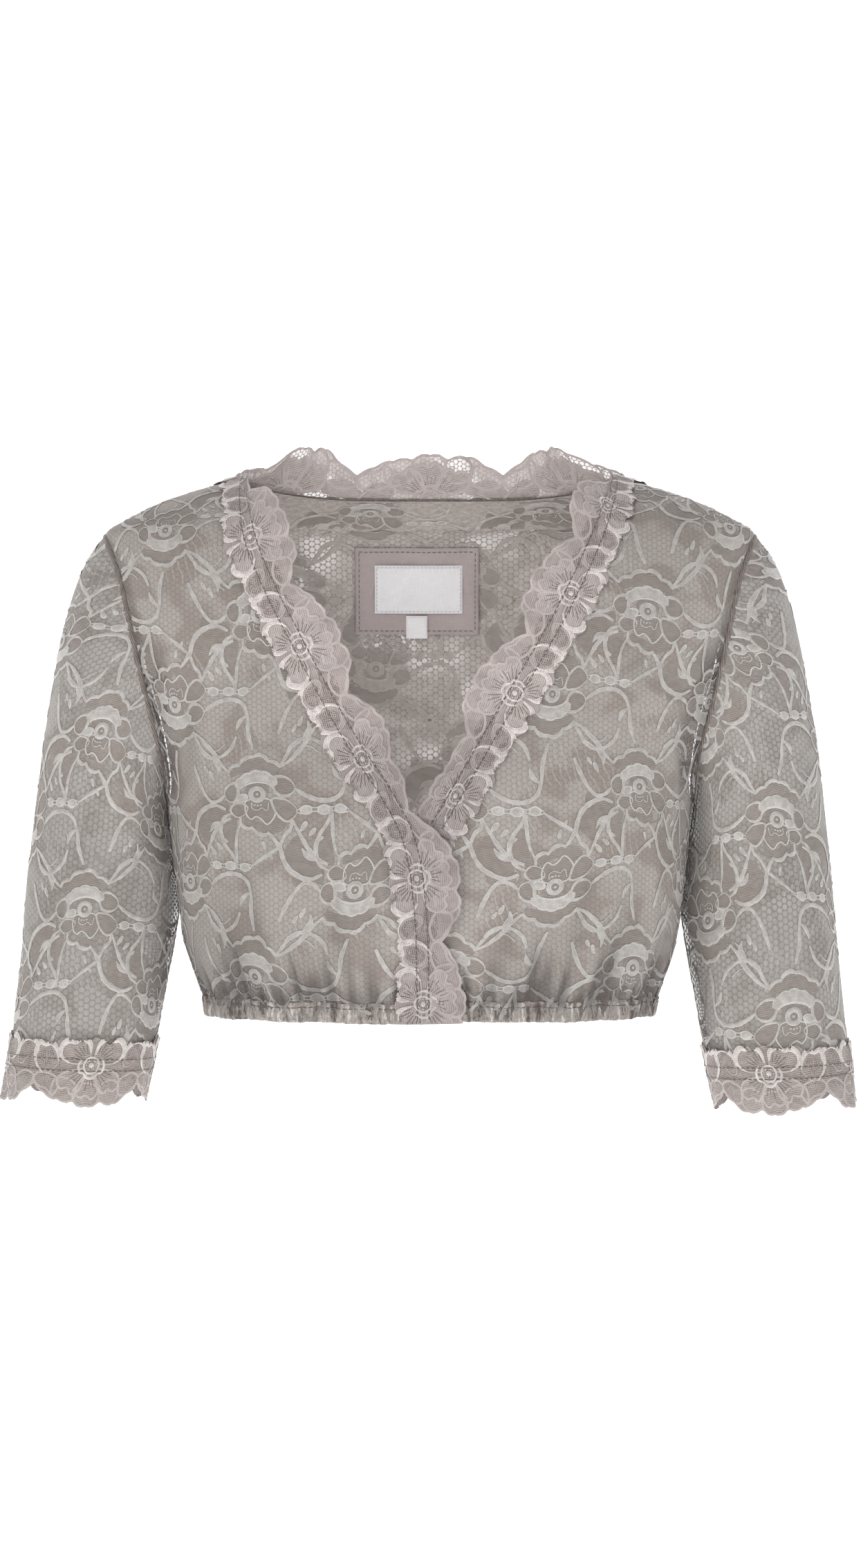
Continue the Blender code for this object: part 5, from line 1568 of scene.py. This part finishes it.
def strip_lace(name, strip, margin=0.0006, lines=(-3.4, 3.6), slots=None, inner=False):
    length = strip.length * 1000
    rep = strip.repeat * 1000
    k = rep / 78.0
    fig = TRIM_FLOWER
    copies = []
    first = (0.5 - strip.start) * rep
    j = int((-first) // rep) - 1
    while first + j * rep < length + rep:
        copies.append(first + j * rep)
        j += 1
    xy_all, parts = [], []
    merged = Figure()
    for x0 in copies:
        xy = fig.xy * np.array([k, 1.0]) + np.array([x0, 0.0])
        xy[:, 1] = strip.squeezed(xy[:, 0] / 1000, xy[:, 1] / 1000) * 1000
        parts.append((xy, fig))

    def inside(xy):
        a, b = xy[:, 0] / 1000, xy[:, 1] / 1000
        free, sewn = strip.widths(a)
        return (a > 0.0003) & (a < strip.length - 0.0003) & (b < free + margin) & (b > -sewn - 0.0012)

    verts, hs, ac, quads, qs, tris, ts = [], [], [], [], [], [], []
    count = 0
    seams = Figure()
    for y in lines:
        stitches(seams, 2.0, length - 1.0, y)
    # soft cord that follows the free edge
    xs = np.arange(0.5, length, 1.5)
    free, sewn = strip.widths(xs / 1000)
    seams.ribbon([(x, b * 1000 - 0.7, 0.75) for x, b in zip(xs, free)], slot=T_SOFT, h=0.12, dome=0.2, step=1.2)
    seams.done()
    for xy, f in parts + [(seams.xy, seams)]:
        ok = inside(xy)
        kq = ok[f.quads].all(1)
        kt = ok[f.tris].all(1) if len(f.tris) else np.zeros(0, bool)
        used = np.zeros(len(xy), bool)
        used[f.quads[kq].ravel()] = True
        if kt.any():
            used[f.tris[kt].ravel()] = True
        if not used.any():
            continue
        number = np.cumsum(used) - 1 + count
        verts.append(xy[used])
        hs.append(f.h[used])
        ac.append(f.across[used])
        quads.append(number[f.quads[kq]])
        qs.append(f.quad_slots[kq])
        if kt.any():
            tris.append(number[f.tris[kt]])
            ts.append(f.tri_slots[kt])
        count += int(used.sum())
    xy = np.vstack(verts)
    q, t = np.vstack(quads), np.vstack(tris)
    if strip.flip_lace != inner:
        q, t = q[:, ::-1], t[:, ::-1]
    lift = np.concatenate(hs) / 1000
    p, n = strip.point(xy[:, 0] / 1000, xy[:, 1] / 1000, -lift if inner else lift)
    ob = build_mesh(name, p, [q, t], xy / 1000, np.concatenate(qs + ts), slots or TRIM_SLOTS,
                    {"across": np.concatenate(ac), "shade": strip.dim(xy[:, 0] / 1000)})
    return own(ob, None, "trim_lace")


def edge_line(edge, start, stop):
    f = np.linspace(0, 1, 401)
    z = np.where(f < 0.5, start + (stop - start) * f * f, start + (stop - start) * (0.25 + (f - 0.5) * 1.5))
    return section(theta_of_x(edge(z), z), z)


def over_casing(p):
    z = p[..., 2]
    return np.where(z > -0.316, 0.0006 * smoothstep(-0.300, -0.316, z), 0.0006)


def no_lift(p):
    return np.zeros(p.shape[:-1])


line_right = edge_line(edge_right, NECK_TOP, HEM + 0.0010)
line_left = edge_line(edge_left, NECK_TOP, -0.2150)
shares = np.linspace(-1, 1, 241)
theta_b = np.where(shares < 0, -1, 1) * (math.pi - np.abs(shares) * (math.pi / 2))
line_back = section(theta_b, BACK_NECK + (SIDE_START - BACK_NECK) * smoothstep(0.25, 1.0, np.abs(shares)))
line_right = line_right[line_right[:, 1] < -SEAM]
line_left = line_left[line_left[:, 1] < -SEAM]
line_back = line_back[line_back[:, 1] > SEAM]


def const(x, y, z):
    return lambda p: np.broadcast_to(np.array([x, y, z], float), p.shape)


def to_middle(p):
    return np.stack([-p[:, 0] * 4, -p[:, 1] * 4, np.ones(len(p))], -1)


back_length = np.linalg.norm(np.diff(line_back, axis=0), axis=1).sum()
strips = {
    "neck_trim_right": NeckStrip(line_right, const(1, 0, 0.3), False, 0.38, over_casing, REPEAT, 0.3),
    "neck_trim_left": NeckStrip(line_left, const(-1, 0, 0.3), True, 0.638, no_lift, REPEAT_LEFT, 1.7),
    "neck_trim_back": NeckStrip(line_back, to_middle, False, 0.5 - 0.5 * back_length / REPEAT_BACK, no_lift, REPEAT_BACK, 2.9),
}


class CuffStrip(Strip):
    def __init__(self, sign):
        sl = sleeves[sign]
        k = np.linspace(-10, 10, 241)
        last = sl.p.shape[0] - 1
        end = sl.p[last]
        before = sl.p[last - 16]
        down = unit(end - before)
        girth = np.linalg.norm(np.diff(end, axis=0), axis=1).sum()
        lengths = np.concatenate([[0], np.cumsum(np.linalg.norm(np.diff(end, axis=0), axis=1))])
        self.length = girth
        repeats = max(1, round(girth / REPEAT))
        self.repeat = girth / repeats
        self.start = (0.35 + 0.5 * repeats) % 1.0
        even = np.linspace(0, girth, 200)
        self.step = even[1]
        cols = np.interp(even, lengths, np.arange(len(k)))
        i = np.clip(cols.astype(int), 0, len(k) - 2)
        f = (cols - i)[:, None]
        self.dim_at = np.full(200, 0.05)
        self.low, self.step_b = -0.022, 0.001
        reach = self.low + self.step_b * np.arange(54)
        p = np.zeros((len(even), len(reach), 3))
        nn = np.zeros_like(p)

        def at(t):
            return t[i] * (1 - f) + t[i + 1] * f
        down_e, end_e, n_end = unit(at(down)), at(end), unit(at(sl.n[last]))
        for j, b in enumerate(reach):
            if b < 0:
                rows = sl.v  # distance over the end
                q = np.zeros((len(even), 3))
                nq = np.zeros((len(even), 3))
                col_p = sl.p.transpose(1, 0, 2)
                col_n = sl.n.transpose(1, 0, 2)
                full_p, full_n = [], []
                for c in range(len(k)):
                    vv = sl.v[::-1, c]
                    full_p.append([np.interp(-b, vv, col_p[c, ::-1, m]) for m in range(3)])
                    full_n.append([np.interp(-b, vv, col_n[c, ::-1, m]) for m in range(3)])
                q, nq = at(np.array(full_p)), unit(at(np.array(full_n)))
            else:
                q, nq = end_e + down_e * b, n_end
            off = LIE + 0.5 * TRIM_WALL + ruffle(even, np.float64(b), 0.7 + sign)
            p[:, j] = q + nq * (off[:, None] if np.ndim(off) else off)
            nn[:, j] = nq
        self.p, self.n = p, nn


strips["cuff_trim_left"] = CuffStrip(1)
strips["cuff_trim_right"] = CuffStrip(-1)
for name, flips in (("neck_trim_right", (False, True)), ("neck_trim_left", (True, False)), ("neck_trim_back", (True, False)),
                    ("cuff_trim_left", (True, False)), ("cuff_trim_right", (False, True))):
    s = strips[name]
    probe_a, probe_b = np.array([0.5 * s.length]), np.array([-0.004])
    p0, n0 = s.point(probe_a, probe_b)
    pa, _ = s.point(probe_a + 0.003, probe_b)
    pb, _ = s.point(probe_a, probe_b + 0.003)
    outward = float(np.dot(np.cross(pa - p0, pb - p0)[0], n0[0])) > 0
    # cloth rows run along a, columns along b
    s.flip = outward
    s.flip_lace = not outward
CUFF_SLOTS = [MAT["cuff_cord"], MAT["cuff_soft"], MAT["cuff_petal"]] + TRIM_SLOTS[3:]
TRIM_CLOTH = {"neck_trim_back": MAT["trim_net"], "cuff_trim_left": MAT["cuff_ground"], "cuff_trim_right": MAT["cuff_ground"]}
SOFT_SLOTS = [MAT["trim_soft"], MAT["trim_soft"], MAT["trim_petal"], MAT["trim_petal"], MAT["stitch"], MAT["trim_dots"]]
trim_cloth = {name: strip_cloth(name + "_cloth", s, name, material=TRIM_CLOTH.get(name))
              for name, s in strips.items()}
trim_lace = {name: strip_lace(name + "_figures", s, slots=CUFF_SLOTS if "cuff" in name else None)
             for name, s in strips.items()}
back_trim_inner = strip_lace("neck_trim_back_inner", strips["neck_trim_back"], slots=SOFT_SLOTS, inner=True, lines=())


# ------------------------------------------------------------ labels
LABELS = (  # name, x, top, width, height, layers
    ("label_patch", -0.0085, -0.0338, 0.0800, 0.0560, 0),
    ("woven_label", -0.0075, -0.0445, 0.0570, 0.0315, 1),
    ("size_tag", -0.0087, -0.0775, 0.0138, 0.0148, 1),
)


def label_point(x, z, depth):
    p = section(theta_of_x(x, z, False), z)
    n = normal_at(p)
    return p - n * depth[..., None], -n


for name, x0, top, width, height, layers in LABELS:
    start = WALL + LIE + layers * (LABEL_WALL + LIE)
    nx, nz = int(width / 0.0011), int(height / 0.0011)
    x, z = np.meshgrid(np.linspace(-0.5, 0.5, nx) * width, np.linspace(0, 1, nz) * height)
    soft = 0.00035 * (np.sin(x * 170 + z * 60 + layers) + 0.7 * np.sin(z * 230 - x * 90 + 1.3))
    edge = np.minimum.reduce([0.5 * width - np.abs(x), z, height - z])
    rise = LABEL_WALL * smoothstep(-0.0002, 0.0010, edge)
    if name == "label_patch":
        rise = rise - 0.0004 * np.exp(-((edge - 0.0024) / 0.0007) ** 2)
        soft = soft + 0.0005 * np.exp(-((x - 0.024 - 0.4 * z) / 0.004) ** 2) + 0.0004 * np.exp(-((z - 0.030 + 0.2 * x) / 0.003) ** 2)
    p, n = label_point(x0 + x, top - z, start + rise + soft * (0.4 if layers else 1.0))
    uv = np.stack([x, -z], -1)
    mat = MAT["patch"] if layers == 0 else MAT["label"]
    ob = own(grid_object(name + "_cloth", p, uv, mat, {}, flip=False), name, "patch_cotton" if layers == 0 else "label_white")
    # stitched border
    if name != "size_tag":
        f = Figure()
        inset = 2.4 if layers == 0 else 1.3
        w, h = width * 1000 / 2 - inset, height * 1000 - inset
        long, gap, half = (2.2, 1.2, 0.26) if layers == 0 else (1.5, 1.1, 0.20)
        stitches(f, -w, w, -inset, 0, long, gap, half, 0.25)
        stitches(f, -w, w, -h, 0, long, gap, half, 0.25)
        for xs in (-w, w):
            y = -inset - 0.6
            while y - long > -h:
                f.ribbon([(xs, y, half * 0.8), (xs + 0.05, y - long / 2, half), (xs, y - long, half * 0.8)], slot=0, h=0.25,
                         dome=0.14, step=0.8)
                y -= long + gap
        f.done()
        fx, fz = f.xy[:, 0] / 1000, -f.xy[:, 1] / 1000
        soft = 0.00035 * (np.sin(fx * 170 + fz * 60 + layers) + 0.7 * np.sin(fz * 230 - fx * 90 + 1.3))
        if layers == 0:
            soft = soft + 0.0005 * np.exp(-((fx - 0.024 - 0.4 * fz) / 0.004) ** 2) + 0.0004 * np.exp(-((fz - 0.030 + 0.2 * fx) / 0.003) ** 2)
        d = start + LABEL_WALL + soft * (0.4 if layers else 1.0) - (0.0004 if layers == 0 else 0.0) + f.h / 1000
        p, n = label_point(x0 + fx, top - fz, d)
        st = build_mesh(name + "_stitches", p, [f.quads], f.xy / 1000, f.quad_slots,
                        [MAT["stitch"] if layers == 0 else MAT["stitch_light"]], {"across": f.across})
        own(st, None, "patch_cotton" if layers == 0 else "label_white")

# doubled lace inside the back neck
share = np.linspace(-0.97, 0.97, 160)
top = back_top(np.abs(share))
v = np.linspace(0, 1, 30)
zz = top[None, :] - 0.0002 - (0.0180 + 0.0006 * np.sin(share * 55))[None, :] * v[:, None]
s = share[None, :] * outer_limit(zz, False)
p, n = body_point(s, zz, False, False, np.full(s.shape, -0.0013))
band = own(grid_object("back_neck_band", p, np.stack([s, run_of_z(zz)], -1), MAT["band"], {}, flip=False), None, "lace_back")


def band_inside(s, v):
    z = z_of_run(v)
    out = outer_limit(z, False)
    top = back_top(np.clip(np.abs(s) / out, 0, 1))
    return (np.abs(s) < 0.96 * out) & (z < top - 0.0006) & (z > top - 0.0176)


def band_place(s, v, h):
    return body_point(s, z_of_run(v), False, False, -0.0014 - h)


reg = ((-130, float(run_of_z(-0.03)) * 1000), (130, float(RUN[-1]) * 1000))
band_lace = own(lace_object("back_neck_band_lace", FLOWER, lay_out(reg, (-40.0, float(run_of_z(-0.012)) * 1000)), band_inside,
                            band_place, LACE_SLOTS, 0.9), None, "lace_back")


# figures of the back panel as they show on its inner side
def inner_inside(s, v):
    z = z_of_run(v)
    return (np.abs(s) < 0.128) & (z > -0.245) & (z < back_top(np.clip(np.abs(s) / outer_limit(z, False), 0, 1)) - 0.018)


def inner_place(s, v, h):
    return body_point(s, z_of_run(v), False, False, -0.0002 - 0.6 * h)


INNER_SLOTS = [MAT["inner_cord"], MAT["inner_cord"], MAT["inner_weave"], MAT["inner_cord"]]
reg = ((-130, float(run_of_z(-0.245)) * 1000), (130, float(RUN[-1]) * 1000))
back_inner = own(lace_object("back_inner_lace", FLOWER, lay_out(reg, (24.0, float(run_of_z(-0.165)) * 1000)), inner_inside,
                             inner_place, INNER_SLOTS, 3.1), None, "lace_back")


# ------------------------------------------------------------ seams
def seam_strip(name, pts, normals, half, rise, material, step=0.0016, wave=0.0003):
    """A narrow rolled seam along a line on the cloth."""
    pts2, length = resample(pts, step)
    frac = np.linspace(0, 1, len(pts2))
    src = np.linspace(0, 1, len(normals))
    n = unit(np.stack([np.interp(frac, src, normals[:, k]) for k in range(3)], 1))
    tangent = unit(np.gradient(pts2, axis=0))
    side = unit(np.cross(tangent, n))
    a = np.linspace(-1, 1, 7)
    mm = frac * length * 1000
    wob = wave * (np.sin(mm * 1.1) + np.sin(mm * 0.47 + 1)) * 0.5
    grid = (pts2[:, None, :] + side[:, None, :] * (a[None, :] * half)[..., None]
            + n[:, None, :] * ((rise * np.sqrt(np.clip(1 - a[None, :] ** 2, 0, 1)) - 0.0004) + wob[:, None])[..., None])
    uv = np.stack([np.broadcast_to(mm[:, None] / 1000, grid.shape[:2]), np.broadcast_to(a[None, :] * half, grid.shape[:2])], -1)
    ob = grid_object(name, grid, uv, material, {}, flip=True)
    return ob


seam_objects = []
for sign in (1, -1):
    sl = sleeves[sign]
    side = "left" if sign > 0 else "right"
    col = sl.p[1]
    ob = seam_strip(f"armhole_seam_{side}", np.vstack([col, col[:1]]), np.vstack([sl.n[1], sl.n[1][:1]]), 0.0017, 0.0010,
                    MAT["seam"])
    seam_objects.append(own(ob, None, "lace_sleeve"))
    # underarm seam of the sleeve
    ob = seam_strip(f"sleeve_seam_{side}", sl.p[:, 0], sl.n[:, 0], 0.0012, 0.0007, MAT["seam"])
    seam_objects.append(own(ob, None, "lace_sleeve"))
    for z0, z1, label in ((SIDE_START, SHOULDER_TIP, "shoulder"), (UNDERARM, CASING_TOP, "side")):
        z = np.linspace(z0, z1, 60)
        pts, n = body_point(sign * quarter(z, True), z, True)
        ob = seam_strip(f"{label}_seam_{side}", pts, n, 0.0013, 0.0007, MAT["seam"])
        seam_objects.append(own(ob, None, "lace_front"))

# stitch line of the casing
f = Figure()
stitches(f, -240, 240, 0.0, 0, 2.6, 1.0, 0.28, 0.0)
f.done()
for name, low, high, front, inset in (("hem_right_stitches", -side_f, edge_r - 0.016, True, False),
                                      ("hem_left_stitches", edge_l + 0.012, side_f, True, True),
                                      ("hem_back_stitches", -side_b, side_b, False, False)):
    ok = (f.xy[:, 0] / 1000 > low) & (f.xy[:, 0] / 1000 < high)
    kq = ok[f.quads].all(1)
    used = np.zeros(len(ok), bool)
    used[f.quads[kq].ravel()] = True
    number = np.cumsum(used) - 1
    xy = f.xy[used]
    p, n = body_point(xy[:, 0] / 1000, -0.3212 + xy[:, 1] / 1000, front, inset, 0.0012 + f.h[used] / 1000)
    st = build_mesh(name, p, [number[f.quads[kq]] if not front else number[f.quads[kq]][:, ::-1]], xy / 1000, f.quad_slots[kq],
                    [MAT["stitch"]], {"across": f.across[used]})
    seam_objects.append(own(st, None, "elastic_casing"))


# ------------------------------------------------------------ piece counts and areas
def area_of(ob):
    return sum(pl.area for pl in ob.data.polygons)


for ob in list(pieces.values()):
    print("PIECE", ob.name, len(ob.data.polygons), round(area_of(ob), 4))
print("TRIS", sum(len(pl.vertices) - 2 for ob in pieces.values() for pl in ob.data.polygons))

# ------------------------------------------------------------ stage and light
FLOOR = -0.80
verts, n_arc = [], 24
for x in (-6.0, 6.0):
    verts += [(x, -6.0, FLOOR), (x, 2.4, FLOOR)]
    for i in range(1, n_arc + 1):
        a = math.pi / 2 * i / n_arc
        verts.append((x, 2.4 + 1.4 * math.sin(a), FLOOR + 1.4 * (1 - math.cos(a))))
    verts.append((x, 3.8, 4.5))
half = len(verts) // 2
mesh = bpy.data.meshes.new("backdrop")
mesh.from_pydata(verts, [], [(i, i + 1, half + i + 1, half + i) for i in range(half - 1)])
mesh.shade_smooth()
floor = bpy.data.objects.new("backdrop", mesh)
paper = bpy.data.materials.new("paper")
paper.use_nodes = True
b = paper.node_tree.nodes["Principled BSDF"]
b.inputs["Base Color"].default_value = (0.92, 0.92, 0.92, 1)
b.inputs["Roughness"].default_value = 0.9
b.inputs["Specular IOR Level"].default_value = 0.1
b.inputs["Emission Color"].default_value = (1, 1, 1, 1)
b.inputs["Emission Strength"].default_value = 0.95
mesh.materials.append(paper)
bpy.context.scene.collection.objects.link(floor)


def area_light(name, place, aim, size, power_w, colour=(1, 1, 1)):
    data = bpy.data.lights.new(name, "AREA")
    data.shape = "RECTANGLE"
    data.size, data.size_y = size
    data.energy = power_w
    data.color = colour
    ob = bpy.data.objects.new(name, data)
    ob.location = place
    ob.rotation_euler = (Vector(aim) - Vector(place)).to_track_quat("-Z", "Y").to_euler()
    bpy.context.scene.collection.objects.link(ob)


MID = (0, 0, -0.17)
area_light("key", (-1.3, -2.6, 1.5), MID, (1.4, 1.0), 31, (1.0, 0.99, 0.975))
area_light("fill", (1.9, -2.2, 0.3), MID, (1.8, 1.6), 10, (0.98, 0.99, 1.0))
area_light("top", (0, 0.4, 2.2), MID, (2.0, 1.2), 15)
area_light("low", (0, -2.4, -0.6), MID, (2.4, 0.5), 2.4)
area_light("rim_left", (-2.0, 1.6, 0.6), MID, (1.0, 1.8), 11)
area_light("rim_right", (2.0, 1.6, 0.6), MID, (1.0, 1.8), 11)
area_light("inside", (0, -0.035, -0.12), (0, 0.09, -0.075), (0.15, 0.14), 0.078)
bpy.data.objects["inside"].visible_camera = False
world = bpy.data.worlds.new("studio")
bpy.context.scene.world = world
world.use_nodes = True
world.node_tree.nodes["Background"].inputs["Color"].default_value = (1, 1, 1, 1)
world.node_tree.nodes["Background"].inputs["Strength"].default_value = 0.22
bpy.context.scene.view_settings.view_transform = "Standard"
bpy.context.scene.view_settings.look = "None"
bpy.context.scene.cycles.transparent_max_bounces = 24
